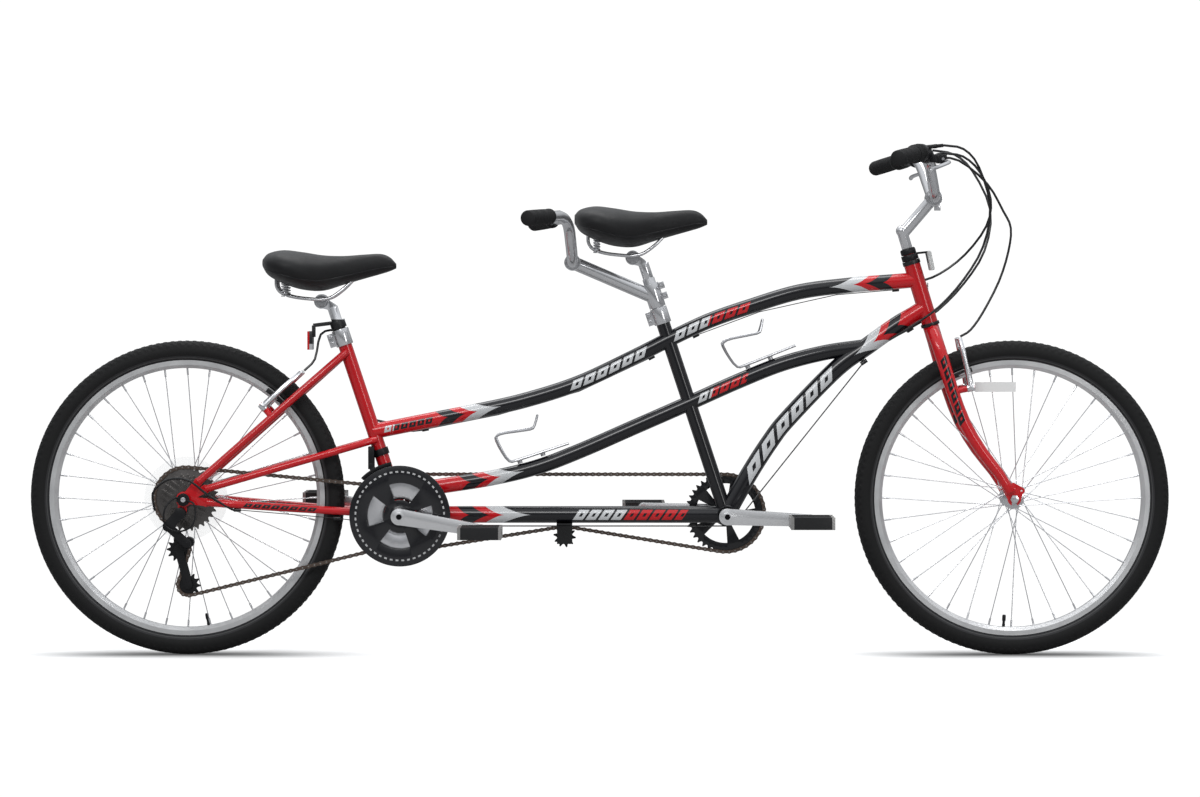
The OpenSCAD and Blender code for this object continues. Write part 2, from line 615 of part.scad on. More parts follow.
// Bending draws the tube this much thinner.
bend_thin = 0.1;
module handlebar(c, a) {
    color([0.78, 0.78, 0.8]) {
        cross_rod(c, bar_r, -clamp_half, clamp_half);
        for (s = [-1, 1]) {
            curve = to_side(tilted(smooth(riser, 2), c, a), s);
            swept(concat([c + [0, s * (clamp_half - 2), 0]], curve), bar_r - bend_thin, 12);
            tip = to_side(tilted([bar_tip], c, a), s)[0];
            rod(last(curve) - 3 * unit(tip - last(curve)), tip, bar_r);
        }
    }
}
grip_len = 98;
grip_r = 16.2;
module grip(c, a, s) {
    end = bar_at(c, a, bar_half, s);
    start = bar_at(c, a, bar_half - grip_len, s);
    d = unit(end - start);
    difference() {
        rod(start, end + 5 * d, grip_r);
        rod(start - d, end + 0.1 * d, bar_r + run_gap);
    }
}
module grips(c, a) { color([0.12, 0.12, 0.13]) for (s = [-1, 1]) grip(c, a, s); }
module stoker_stem() {
    a = captain_top + (clamp_h + 26.5) * up_seat;
    difference() {
        union() {
            rod(a - 25 * up_seat, a + 25 * up_seat, post_r + 4.5);
            rod(a - 4 * up_seat, stoker_bar_p, 14);
            cross_rod(stoker_bar_p, bar_r + 6, -20, 20);
            for (h = [-6, 16]) {
                q = a + h * up_seat;
                translate(q + (post_r + 2) * [1, 0, 0.3]) rotate([0, -seat_tilt, 0]) translate([0, -9, -7]) cube([12, 18, 14]);
            }
        }
        rod(a - 60 * up_seat, a + 60 * up_seat, post_r - 1);
        cross_rod(stoker_bar_p, bar_r + run_gap, -30, 30);
    }
    for (h = [-6, 16]) let (q = a + h * up_seat + [post_r + 7, 0, 4]) for (s = [-1, 1])
        cross_rod(q, 4, min(s * 9, s * 14), max(s * 9, s * 14));
}
quill_depth = 70;
module stem() {
    knee = head_top + 72 * up_steer;
    color([0.75, 0.75, 0.77]) difference() {
        union() {
            rod(head_top - quill_depth * up_steer, knee, 11.1);
            rod(knee - 6 * up_steer, captain_bar_p, 12);
            sphere_at(knee, 12.4);
            cross_rod(captain_bar_p, bar_r + 6, -20, 20);
            translate(captain_bar_p + [2, -8, -26]) cube([12, 16, 14]);
        }
        cross_rod(captain_bar_p, bar_r + run_gap, -30, 30);
    }
    color([0.3, 0.3, 0.32]) cross_rod(captain_bar_p + [8, 0, -19], 4, -13, -8.3);
}
module sphere_at(p, r) { translate(p) sphere(r); }

shifter_y = 0.54 * bar_half;
shifter_len = 44;
perch_y = 0.42 * bar_half;
function shifter_start(s) = bar_at(captain_bar_p, captain_bar_tilt, shifter_y, s);
function shifter_way(s) = bar_way(captain_bar_p, captain_bar_tilt, shifter_y, s);
module shifter(s) {
    b = shifter_start(s);
    d = shifter_way(s);
    color([0.1, 0.1, 0.11]) difference() {
        rod(b, b + shifter_len * d, 19);
        rod(b - d, b + (shifter_len + 1) * d, bar_r + air);
    }
}
module right_shifter() { shifter(-1); }
module left_shifter() { shifter(1); }

function pod_at(s) = bar_at(captain_bar_p, captain_bar_tilt, perch_y + 12, s);
function lever_barrel(s) = bar_at(captain_bar_p, captain_bar_tilt, perch_y, s) + [37, -s * 21, 4];
function pod_barrel(s) = pod_at(s) + [40, -s * 9, 17];
function lever_pivot(s) = bar_at(captain_bar_p, captain_bar_tilt, perch_y, s) + [30, 0, -8];
module perch(s) {
    b = bar_at(captain_bar_p, captain_bar_tilt, perch_y, s);
    d = bar_way(captain_bar_p, captain_bar_tilt, perch_y, s);
    v = lever_pivot(s);
    difference() {
        union() {
            rod(b - 9 * d, b + 9 * d, 16);
            rod(b + [14, -s * 4, -4], lever_barrel(s), 4.5);
            // fixed half of the twist shifter, with its own barrel
            rod(pod_at(s) - 4 * d, shifter_start(s) - 8 * shifter_way(s), 15);
            rod(shifter_start(s) - 14 * shifter_way(s), shifter_start(s) - air * shifter_way(s), 17);
            rod(pod_at(s) + [4, 0, 13], pod_barrel(s), 4.2);
            translate([b.x + 8, b.y - 9, b.z - 16]) cube([22, 18, 16]);
        }
        translate([v.x - 3, v.y - 5 - 0.3, v.z - 20]) cube([30, 10.6, 40]);
    }
}
module captain_handlebar() {
    handlebar(captain_bar_p, captain_bar_tilt);
    color([0.2, 0.2, 0.21]) for (s = [-1, 1]) perch(s);
    grips(captain_bar_p, captain_bar_tilt);
}
module stoker_handlebar() {
    handlebar(stoker_bar_p, stoker_bar_tilt);
    grips(stoker_bar_p, stoker_bar_tilt);
}
module brake_lever(s) {
    v = lever_pivot(s);
    way = shifter_way(s);
    out = v + [4, 0, -3];
    color([0.75, 0.75, 0.77]) {
        translate([v.x - 1, v.y - 5, v.z - 10]) cube([14, 10, 16]);
        swept(smooth([out + [4, 0, 0], out + [12, s * 22, -4], out + 62 * way + [10, 0, -8], out + 105 * way + [8, 0, -10],
            out + 130 * way + [14, 0, -12]], 4), 4.6, 10);
    }
}
module right_brake_lever() { brake_lever(-1); }
module left_brake_lever() { brake_lever(1); }

// ---- fork ---------------------------------------------------------------
leg_r = 13;
leg_top = head_low - 12 * up_steer;
leg_line = smooth([
    leg_top - 4 * up_steer + [0, 15, 0], leg_top - 22 * up_steer + [0, 30, 0], leg_top - 52 * up_steer + [0, 43, 0],
    leg_top - 130 * up_steer + [0, 49, 0], leg_top - 205 * up_steer + 5 * fwd_steer + [0, 52, 0],
    leg_top - 270 * up_steer + 21 * fwd_steer + [0, 55, 0], leg_top - 325 * up_steer + 42 * fwd_steer + [0, 57, 0],
    front_axle_p + [-9, 57, 15]], 2);
leg_radii = [for (i = [0 : len(leg_line) - 1]) lerp(leg_r + 1, leg_r - 3, pow(i / (len(leg_line) - 1), 2))];
fork_y = front_old / 2 + dropout_thick / 2;
front_brake_p = steer_foot + 227 * up_steer + 38 * fwd_steer;
brake_tilt = steer_tilt - 4;
brake_up = [-sin(brake_tilt), 0, cos(brake_tilt)];
brake_out = [cos(brake_tilt), 0, sin(brake_tilt)];
rear_stay_way = unit(seat_stay_head - seat_stay_foot);
rear_brake_out = [-rear_stay_way.z, 0, rear_stay_way.x];
rear_brake_p = seat_stay_foot + 199 * rear_stay_way + 28 * rear_brake_out;
brake_y = 38;
stud_r = 4;
module fork() {
    color(red) {
        difference() {
            union() {
                rod(leg_top - 10 * up_steer, head_top + 22 * up_steer, steerer_r);
                rod(leg_top - 24 * up_steer, head_low - 7 * up_steer, 16.5);
            }
            rod(leg_top - 60 * up_steer, head_top + 60 * up_steer, 11.1 + run_gap);
        }
        for (l = [leg_line, mirror_y(leg_line)]) difference() {
            swept(l, leg_radii, 14);
            rod(leg_top - 24 * up_steer, head_low, 16.5);
            about_axle(front_axle_p) cylinder(h = 2 * (front_old / 2), r = 60, center = true);
            for (s = [-1, 1]) cross_rod(front_axle_p, 19, s * fork_y - dropout_thick / 2, s * fork_y + dropout_thick / 2);
        }
        for (s = [-1, 1]) difference() {
            union() {
                cross_rod(front_axle_p, 14, s * fork_y - dropout_thick / 2, s * fork_y + dropout_thick / 2);
                side_plate(s * fork_y - dropout_thick / 2, s * fork_y + dropout_thick / 2)
                    polygon([for (q = [[-14, 0], [-26, 22], [-2, 34], [20, 22], [14, 0]]) [front_axle_p.x + q.x, wheel_r + q.y]]);
                cross_rod(eyelet_p, 6.5, s * fork_y - dropout_thick / 2, s * fork_y + dropout_thick / 2);
            }
            cross_rod(front_axle_p, axle_r + air, s * fork_y - 4, s * fork_y + 4);
            side_plate(s * fork_y - 4, s * fork_y + 4) translate([front_axle_p.x - axle_r - air, wheel_r - 20])
                square([2 * (axle_r + air), 20]);
            cross_rod(eyelet_p, eyelet_r, s * fork_y - 4, s * fork_y + 4);
        }
        brake_studs(front_brake_p, brake_out, 30, 12);
    }
}
eyelet_r = 2.1;
eyelet_p = front_axle_p + [15, 0, 17];
// Two studs that the brake arms turn on, standing out of the legs or stays along the direction out.
module brake_studs(p, out, depth, spread) {
    for (s = [-1, 1]) {
        q = p + [0, s * brake_y, 0];
        rod(q + [0, s * spread, 0] - depth * out, q - 13 * out, 6.5);
        rod(q - 15 * out, q - 7 * out, 7);
        rod(q - 8 * out, q + 9 * out, stud_r);
    }
}
module front_reflector() {
    p = head_top + 20 * up_steer;
    color([0.1, 0.1, 0.11]) {
        difference() {
            union() {
                rod(head_top + 8.5 * up_steer, head_top + 21 * up_steer, 17.5);
                rod(head_top + 22 * up_steer, head_top + 34 * up_steer, 16);
                translate(p + [8, -7, 0]) rotate([0, -6, 0]) cube([34, 14, 5]);
            }
            rod(head_top, head_top + 22 * up_steer, steerer_r);
            rod(head_top, head_top + 60 * up_steer, 11.1 + air);
        }
        translate(p + [38, -8, -16]) rotate([0, -12, 0]) cube([6, 16, 22]);
    }
    color([0.9, 0.9, 0.92]) translate(p + [42.5, -25, -32]) rotate([0, -12, 0]) cube([9, 50, 40]);
}

// ---- brakes -------------------------------------------------------------
arm_len = 104;
pad_mid_r = bead_r - 6.5;
// One arm of a rim brake: it turns on its stud at p, and its curved pad stands beside the rim.
module brake_arm(p, up, out, s) {
    q = p + [0, s * brake_y, 0];
    hub_p = out.x > 0 ? front_axle_p : rear_axle_p;
    away = [p.x - hub_p.x, p.z - hub_p.z];
    a = atan2(away.y, away.x) + (out.x > 0 ? 2 : -2);
    pad = hub_p + pad_mid_r * [cos(a), 0, sin(a)] + [0, s * 19, 0];
    color([0.72, 0.72, 0.74]) {
        difference() {
            union() {
                rod(q - 6.6 * out, q + 8 * out, 8);
                swept([q + out, q + 28 * up + [0, s * 3, 0] + 2 * out, q + 70 * up + [0, s * 2, 0] + 2 * out,
                    q + arm_len * up + [0, -s * 6, 0] + 2 * out], [7.5, 6.5, 5.5, 5], 10);
            }
            rod(q - 12 * out, q + 12 * out, stud_r + run_gap);
        }
        rod(pad, q + (norm(pad - q - [0, pad.y - q.y, 0])) * up + [0, -s * 1, 0], 3.5);
    }
    color([0.1, 0.1, 0.11]) side_plate(min(s * (rim_w / 2 + 1.2), s * 21), max(s * (rim_w / 2 + 1.2), s * 21))
        translate([hub_p.x, hub_p.z]) rotate(a) window(pad_mid_r - 4.5, pad_mid_r + 4.5, 11.5);
}
module front_brake_arm_right() { brake_arm(front_brake_p, brake_up, brake_out, -1); }
module front_brake_arm_left() { brake_arm(front_brake_p, brake_up, brake_out, 1); }
module rear_brake_arm_right() { brake_arm(rear_brake_p, rear_stay_way, rear_brake_out, -1); }
module rear_brake_arm_left() { brake_arm(rear_brake_p, rear_stay_way, rear_brake_out, 1); }

// ---- drivetrain ---------------------------------------------------------
module sprocket(p, teeth, phase, y, hole) {
    side_plate(y - tooth_thick / 2, y + tooth_thick / 2) difference() {
        translate([p.x, p.z]) polygon(tooth_ring(teeth, phase));
        translate([p.x, p.z]) circle(hole);
    }
}
ring_phase = mesh_angle(drive_path, 0);
guard_y = chain_y - 2 * ring_step - 4.5;
module chainrings() {
    color([0.78, 0.78, 0.8]) {
        sprocket(rear_bb, ring_teeth[0], ring_phase, chain_y, 34);
        sprocket(rear_bb, ring_teeth[1], ring_phase, chain_y - ring_step, 41);
        for (a = [45 : 90 : 315]) post(a, 43, chain_y - ring_step + tooth_thick / 2, chain_y - tooth_thick / 2);
    }
    color(black) {
        sprocket(rear_bb, ring_teeth[2], ring_phase, chain_y - 2 * ring_step, 68);
        for (a = [45 : 90 : 315]) post(a, 65, guard_y + 1, chain_y - ring_step - tooth_thick / 2);
        guard();
        timing_ring(rear_bb, 0);
    }
}
module post(a, r, y0, y1) {
    cross_rod(rear_bb + r * [cos(a + rear_crank_angle), 0, sin(a + rear_crank_angle)], 6, y0, y1);
}
// Spider and guard in one plate: four windows, a solid rim outside the teeth.
module guard() {
    outer = guard_r;
    side_plate(guard_y - 1.5, guard_y + 1) difference() {
        translate([rear_bb.x, rear_bb.z]) circle(outer);
        translate([rear_bb.x, rear_bb.z]) circle(16);
        translate([rear_bb.x, rear_bb.z]) rotate(rear_crank_angle) for (a = [0 : 90 : 270]) rotate(a) window(33, 69, 56);
    }
}
// A window between radii a and b, w degrees wide.
module window(a, b, w) {
    difference() {
        intersection() {
            circle(b);
            polygon([[0, 0], 2 * b * heading(-w / 2), 2 * b * heading(w / 2)]);
        }
        circle(a);
    }
}
module timing_ring(bb, i) {
    side_plate(timing_y - tooth_thick / 2, timing_y + tooth_thick / 2) difference() {
        translate([bb.x, bb.z]) polygon(tooth_ring(timing_teeth, mesh_angle(timing_path, i)));
        translate([bb.x, bb.z]) circle(14);
        translate([bb.x, bb.z]) rotate(front_crank_angle + 36) for (a = [0 : 72 : 288]) rotate(a) window(26, 62, 48);
    }
}
module front_timing_ring() { color(black) timing_ring(front_bb, 1); }

spindle_r = 8.5;
module arm_outline() {
    circle(17);
    translate([crank_len, 0]) circle(12.5);
    polygon([[0, -16.6], [crank_len, -12.1], [crank_len, 12.1], [0, 16.6]]);
}
module crank_pair(bb, a, ring_side) {
    color([0.8, 0.8, 0.82]) {
        cross_rod(bb, spindle_r, -crank_in - 4, crank_in + 4);
        for (s = [-1, 1]) {
            translate([bb.x, s * (crank_in + crank_thick / 2), bb.z]) rotate([90, 0, 0])
                rotate(a + (s > 0 ? 180 : 0)) linear_extrude(crank_thick, center = true) arm_outline();
            inner = s == -1 ? (ring_side ? -guard_y - 1 : crank_in - 14) : timing_y + tooth_thick / 2;
            cross_rod(bb, 16, min(s * inner, s * (crank_in + 1)), max(s * inner, s * (crank_in + 1)));
            e = bb + s * -crank_len * [cos(a), 0, sin(a)];
            y0 = s * crank_in;
            y1 = s * (pedal_in + pedal_w - 10);
            cross_rod(e, 7, min(y0, s * (pedal_in + 2)), max(y0, s * (pedal_in + 2)));
            cross_rod(e, 6, min(s * (pedal_in + 2), y1), max(s * (pedal_in + 2), y1));
        }
        cross_rod(bb, 9, -pedal_in - 2, -crank_in - 4);
        cross_rod(bb, 9, crank_in + 4, pedal_in + 2);
    }
    color(black) cross_rod(bb, 14 - 0.2, timing_y - 1, timing_y + 1);
}
module rear_cranks() { crank_pair(rear_bb, rear_crank_angle, true); }
module front_cranks() { crank_pair(front_bb, front_crank_angle, false); }

function crank_end(bb, a, s) = bb - s * crank_len * [cos(a), 0, sin(a)];
module pedal(bb, a, s) {
    e = crank_end(bb, a, s);
    y0 = pedal_in + 3;
    y1 = pedal_in + pedal_w;
    color([0.11, 0.11, 0.12]) difference() {
        union() {
            cross_rod(e, 10, min(s * y0, s * y1), max(s * y0, s * y1));
            for (y = [y0, (y0 + y1) / 2 - 4, y1 - 9]) translate([e.x - pedal_l / 2, min(s * y, s * (y + 9)), e.z - 12.5])
                cube([pedal_l, 9, 25]);
            for (x = [-1, 1]) translate([e.x + x * (pedal_l / 2 - 3) - 3, min(s * y0, s * y1), e.z - 9])
                cube([6, y1 - y0, 18]);
        }
        cross_rod(e, 6 + run_gap, min(s * (y0 - 1), s * (y1 - 6)), max(s * (y0 - 1), s * (y1 - 6)));
    }
}
module pedal_rear_right() { pedal(rear_bb, rear_crank_angle, -1); }
module pedal_rear_left() { pedal(rear_bb, rear_crank_angle, 1); }
module pedal_front_right() { pedal(front_bb, front_crank_angle, -1); }
module pedal_front_left() { pedal(front_bb, front_crank_angle, 1); }

module freewheel() {
    color([0.5, 0.5, 0.5]) {
        for (i = [0 : len(cog_teeth) - 1])
            sprocket(rear_axle_p, cog_teeth[i], mesh_angle(drive_path, 3), chain_y - i * cog_step, freewheel_core_r + 5);
        difference() {
            cross_rod(rear_axle_p, freewheel_core_r + 5, chain_y - (len(cog_teeth) - 1) * cog_step - 1, chain_y + 1);
            cross_rod(rear_axle_p, hub_r + run_gap, -rear_old, 0);
        }
    }
}
module chain_idler() {
    color([0.12, 0.12, 0.13]) difference() {
        sprocket(idler_p, idler_teeth, mesh_angle(timing_path, 2), timing_y, 4);
        cross_rod(idler_p, 4 + run_gap, timing_y - 5, timing_y + 5);
    }
}
module jockey(p, i) {
    color([0.1, 0.1, 0.11]) sprocket(p, jockey_teeth, mesh_angle(drive_path, i), chain_y, 3 + run_gap);
}
module upper_jockey_wheel() { jockey(jockey_up_p, 2); }
module lower_jockey_wheel() { jockey(jockey_low_p, 1); }

knuckle_p = jockey_up_p + [22, 0, 16];
guide_r = 4;
shift_travel = (len(cog_teeth) - 1) * cog_step;
link_y = chain_y - 24 - shift_travel - 6;
// Slides across on the guide shaft to change gear; the cage swings on its inner boss.
module rear_derailleur_knuckle() {
    color([0.12, 0.12, 0.13]) difference() {
        union() {
            cross_rod(knuckle_p, 11, chain_y - 24, chain_y - 7);
            cross_rod(knuckle_p, 6.5, chain_y - 7, chain_y - 3.4);
        }
        cross_rod(knuckle_p, guide_r + run_gap, chain_y - 30, chain_y);
    }
}
module rear_derailleur_cage() {
    color([0.1, 0.1, 0.11]) {
        side_plate(chain_y + 5, chain_y + 6.5) hull_bar(jockey_up_p, jockey_low_p, 9);
        difference() {
            side_plate(chain_y - 6.5, chain_y - 5) {
                hull_bar(jockey_up_p, jockey_low_p, 9);
                hull_bar(jockey_up_p, knuckle_p, 11);
            }
            cross_rod(knuckle_p, 6.5 + run_gap, chain_y - 9, chain_y);
        }
        for (q = [jockey_up_p, jockey_low_p]) cross_rod(q, 3, chain_y - 5, chain_y + 5);
    }
}
// A bar with round ends between two points of the side plane, a hair narrower between them.
waist = 0.97;
module hull_bar(a, b, r) {
    d = [b.x - a.x, b.z - a.z];
    translate([a.x, a.z]) {
        circle(r);
        rotate(atan2(d.y, d.x)) translate([0, -waist * r]) square([norm(d), 2 * waist * r]);
    }
    translate([b.x, b.z]) circle(r);
}
module derailleur_mounts() {
    // rear: bolt on the hanger, and the link down to the guide shaft that the knuckle slides on
    color([0.1, 0.1, 0.11]) {
        cross_rod(hanger_p, 12, link_y, -stay_y - dropout_thick / 2);
        cross_rod(hanger_p, 4.9, -stay_y - dropout_thick / 2, -stay_y + dropout_thick / 2);
        side_plate(link_y, link_y + 5) {
            hull_bar(hanger_p, hanger_p + [-24, 0, -26], 11);
            hull_bar(hanger_p + [-24, 0, -26], knuckle_p, 9);
        }
        cross_rod(knuckle_p, guide_r, link_y, chain_y - 8);
    }
    // wire guard round the rear derailleur, on a tab under the axle nut
    tab_y = -rear_old / 2 - dropout_thick - 7.2;
    color([0.15, 0.15, 0.16]) {
        side_plate(tab_y - 2.2, tab_y) translate([rear_axle_p.x, rear_axle_p.z]) difference() {
            circle(13);
            circle(axle_r + 0.1);
        }
        swept([for (q = smooth([[-9, 0, 4], [-20, -6, 2], [-36, -14, -18], [-36, -16, -50], [-12, -16, -64], [16, -14, -56],
            [26, -8, -32], [22, -4, -8], [8, 0, -2]], 3)) rear_axle_p + q + [0, tab_y - 3.5, 0]], 2, 8);
    }
    // front: band round the stoker's seat tube
    color([0.1, 0.1, 0.11]) {
        c = rear_bb + 136 * up_seat;
        difference() {
            union() {
                rod(c - 7 * up_seat, c + 7 * up_seat, seat_tube_r + 3);
                translate(c + [-24, chain_y + 6.9, -34]) cube([12, 24 + 6, 46]);
            }
            rod(c - 20 * up_seat, c + 20 * up_seat, seat_tube_r);
            cross_rod(fd_pin_p, fd_pin_r + run_gap, -60, 60);
        }
    }
}
guard_r = pitch / 2 / sin(180 / ring_teeth[2]) + 6.7;
fd_r = guard_r + 8;
fd_pin_r = 3;
fd_pin_p = rear_bb + 136 * up_seat + [-18, 0, -27];
module sector(r, a0, a1) {
    intersection() {
        circle(r);
        polygon([[0, 0], 2 * r * heading(a0), 2 * r * heading(a1)]);
    }
}
// The chain cage slides outwards on its pin to change rings.
module front_derailleur_cage() {
    color([0.14, 0.14, 0.15]) {
        side_plate(chain_y + 5, chain_y + 6.5) {
            translate([rear_bb.x, rear_bb.z]) difference() {
                sector(fd_r, 100, 136);
                circle(ring_teeth[1] * 2.02 + 8);
            }
            hull_bar(rear_bb + (fd_r - 8) * [cos(121), 0, sin(121)], fd_pin_p, 6);
        }
        side_plate(chain_y - 8, chain_y - 6.5) translate([rear_bb.x, rear_bb.z]) difference() {
            sector(fd_r, 100, 136);
            circle(guard_r + 1.2);
        }
        side_plate(chain_y - 8, chain_y + 6.5) translate([rear_bb.x, rear_bb.z]) difference() {
            sector(fd_r, 110, 128);
            circle(fd_r - 1.5);
        }
        cross_rod(fd_pin_p, fd_pin_r, chain_y + 5, 1);
    }
}

// ---- bearings, small fittings ------------------------------------------
module bearing_cups() {
    color([0.12, 0.12, 0.13]) {
        pipe(head_top, head_top + 8 * up_steer, head_r + 1.5, steerer_r + run_gap);
        pipe(head_top - 10 * up_steer, head_top, head_r - 3, steerer_r + run_gap);
        pipe(head_low - 6.7 * up_steer, head_low, head_r + 2.5, steerer_r + run_gap);
        pipe(head_low, head_low + 10 * up_steer, head_r - 3, steerer_r + run_gap);
        for (b = [rear_bb, front_bb], s = [-1, 1]) difference() {
            cross_rod(b, shell_bore, min(s * 20, s * shell_half), max(s * 20, s * shell_half));
            cross_rod(b, spindle_r + run_gap, -60, 60);
        }
    }
}
function line_at(line, t) = let (i = min(len(line) - 2, floor(t * (len(line) - 1)))) lerp(line[i], line[i + 1], t * (len(line) - 1) - i);
function under(line, t, r) = let (a = line_at(line, max(0, t - 0.02)), b = line_at(line, min(1, t + 0.02)), d = unit(b - a))
    line_at(line, t) + r * [d.z, 0, -d.x];
module frame_fittings() {
    bearing_cups();
    axle(rear_axle_p, rear_old);
    color([0.1, 0.1, 0.11]) {
        // cage for the chain idler below the boom
        difference() {
            union() {
                translate([idler_p.x - 16, -boom_r, bb_z - boom_r - 4]) cube([32, boom_r + timing_y + 5, 4]);
                translate([idler_p.x - 16, timing_y - 8, idler_p.z - 16]) cube([32, 3, bb_z - boom_r - idler_p.z + 16]);
            }
            boom_void();
        }
        cross_rod(idler_p, 4, timing_y - 8, timing_y + 3);
        cross_rod(idler_p, 7, timing_y + 3, timing_y + 6);
    }
    // studs of the rear brake
    color(red) brake_studs(rear_brake_p, rear_brake_out, 26, 13);
}
module cage_wire(line) {
    color([0.8, 0.8, 0.82]) swept(line, 2.5, 8);
}
// A bottle cage of bent wire, standing on the lateral tube at the share t of its length.
module bottle_cage(line, t) {
    a = under(line, t, -top_tube_r);
    b = under(line, t + 0.16, -top_tube_r);
    d = unit(b - a);
    up = [-d.z, 0, d.x];
    function q(x, y, z) = a + x * d + [0, y, 0] + z * up;
    wire = [q(112, -8, 9), q(60, -9, 9), q(0, -10, 9), q(-16, -12, 12), q(-24, -20, 34), q(-28, -33, 62), q(-24, -36, 70),
        q(-5, -38, 71), q(45, -37, 62), q(56, -30, 66), q(68, -12, 84)];
    for (s = [1, -1]) cage_wire(smooth([for (p = wire) [p.x, s * p.y, p.z]], 2));
    color([0.12, 0.12, 0.13]) for (x = [4, 54]) rod(q(x, 0, 0.5), q(x, 0, 11), 5);
    color([0.12, 0.12, 0.13]) translate(q(-2, -7.3, 6)) rotate([0, -asin(d.z), 0]) cube([64, 14.6, 2.5]);
}
module bottle_cages() {
    bottle_cage(lateral_front_line, 0.31);
    bottle_cage(lateral_rear_line, 0.435);
}

// ---- cables -------------------------------------------------------------
cable_r = 2.5;
wire_r = 0.9;
seat_gap = [1.4, 0, 0.4];
// Housings hang in the steering plane's frame: points are [x, y, z] from the middle of the captain's bar.
front_brake_route = [lever_barrel(1) + seat_gap - captain_bar_p, [60, 84, 80], [118, 76, 32], [150, 56, -26], [163, 30, -62], [155, 6, -112],
    [134, -14, -172], [100, -26, -236], [74, -31, -272], [53, -31.5, -285.4]];
rear_brake_route = [lever_barrel(-1) + seat_gap - captain_bar_p, [52, -92, 82], [86, -96, 50], [112, -58, -4], [108, -12, -58], [68, 22, -116], [16, 27, -156],
    [-30, 25, -172], [-88, 19, -174]];
front_shift_route = [pod_barrel(1) + seat_gap - captain_bar_p, [54, 122, 94], [90, 96, 58], [122, 46, -24], [108, 22, -108], [66, 26, -176], [12, 27, -232],
    [-44, 23, -268], [-92, 12, -293]];
rear_shift_route = [pod_barrel(-1) + seat_gap - captain_bar_p, [50, -122, 96], [84, -96, 60], [112, -46, -20], [100, -27, -100], [60, -29, -168], [10, -28, -224],
    [-42, -23, -262], [-92, -12, -293]];
module housing(points) { color(black) swept([for (q = smooth(points, 3)) captain_bar_p + q], cable_r, 8); }
// The bare wire that joins the tops of a pair of brake arms.
module yoke(p, up, out) { color([0.5, 0.5, 0.5]) cross_rod(p + (arm_len - 3) * up + 2 * out, wire_r, -27.4, 27.4); }
module front_brake_cable() {
    housing(front_brake_route);
    yoke(front_brake_p, brake_up, brake_out);
}
// A cable stop beside a tube's line at the share t: a short barrel along the tube on a foot that reaches the tube.
function beside(line, t, y, drop) = under(line, t, drop) + [0, y, 0];
module cable_stop(line, t, y, drop) {
    p = beside(line, t, y, drop);
    d = unit(beside(line, t + 0.02, y, drop) - p);
    rod(p - 7 * d, p + 7 * d, 4);
    rod(p, lerp(p, line_at(line, t), 0.45), 3.2);
}
// Wires run straight from stop to stop.
module wire(points) { swept(points, wire_r, 8); }
top_drop = 21;
top_stops = [0.1, 0.86];
rear_stops = [0.16, 0.9];
down_stop = 0.66;
seat_stop = stoker_top + [-22, 12, 30];
rear_stop = beside(top_rear_line, rear_stops[0], 17.5, top_drop - 4);
rear_loop = [rear_stop, rear_stop + [-38, 4, -3], rear_stop + [-72, 9, 12], rear_bb + 215 * up_seat + [2, 27, 0],
    rear_bb + 300 * up_seat + [2, 29, 0], stoker_top + [-6, 27, 10], seat_stop + [0, 6, 0], seat_stop + [-28, -14, -8],
    rear_brake_p + (arm_len + 26) * rear_stay_way + [8, -24, 12], rear_brake_p + (arm_len + 5) * rear_stay_way + [2, -31, 2]];
gear_stop = rear_axle_p + [109, -61, -22];
gear_loop = [gear_stop, rear_axle_p + [97, -66, -20], rear_axle_p + [50, -82, 10], rear_axle_p + [16, -90, 38],
    rear_axle_p + [-18, -91, 44], rear_axle_p + [-44, -89, 34], rear_axle_p + [-62, -86, 12], rear_axle_p + [-58, -85, -22]];
module frame_cables() {
    color(black) {
        swept(smooth(rear_loop, 3), cable_r, 8);
        swept(smooth(gear_loop, 3), cable_r, 8);
        // stops on the chain stay
        for (q = [gear_stop, rear_bb + [-131, -33, -6]]) rod(q - [7, 0, 0], q + [7, 0, 0], 4);
    }
    yoke(rear_brake_p, rear_stay_way, rear_brake_out);
    housing(rear_brake_route);
    housing(front_shift_route);
    housing(rear_shift_route);
    color(black) {
        for (t = top_stops) cable_stop(top_front_line, t, 17.5, top_drop - 4);
        for (t = rear_stops) cable_stop(top_rear_line, t, 17.5, top_drop - 4);
        for (s = [-1, 1]) cable_stop(down_line, 0.9, s * 12, 22);
        for (s = [-1, 1]) cable_stop(down_line, down_stop, s * 7, 23.5);
        // guide plates under the two shells
        for (b = [rear_bb, front_bb]) translate(b + [-9, -12, -shell_r - 3]) cube([18, 24, 4]);
    }
    color([0.5, 0.5, 0.5]) {
        wire([for (t = [top_stops[1], 0.62, 0.36, top_stops[0]]) beside(top_front_line, t, 17.5, top_drop - 4)]);
        wire([for (t = [rear_stops[1], 0.66, 0.4, rear_stops[0]]) beside(top_rear_line, t, 17.5, top_drop - 4)]);
        for (s = [-1, 1]) wire([beside(down_line, down_stop, s * 7, 23.5), front_bb + [30, s * 7, -4], front_bb + [6, s * 7, -shell_r - 3.4],
            rear_bb + [0, s * 7, -shell_r - 3.4]]);
        wire([rear_bb + [0, -7, -shell_r - 3.4], rear_bb + [-131, -33, -6], gear_stop]);
        wire([rear_bb + [0, 7, -shell_r - 3.4], rear_bb + [-24, 6, -14], rear_bb + 118 * up_seat + [-22, -8, 0]]);
    }
}

module drive_chain() { color([0.35, 0.3, 0.28]) chain(drive_path, chain_y); }
module timing_chain() { color([0.35, 0.3, 0.28]) chain(timing_path, timing_y); }

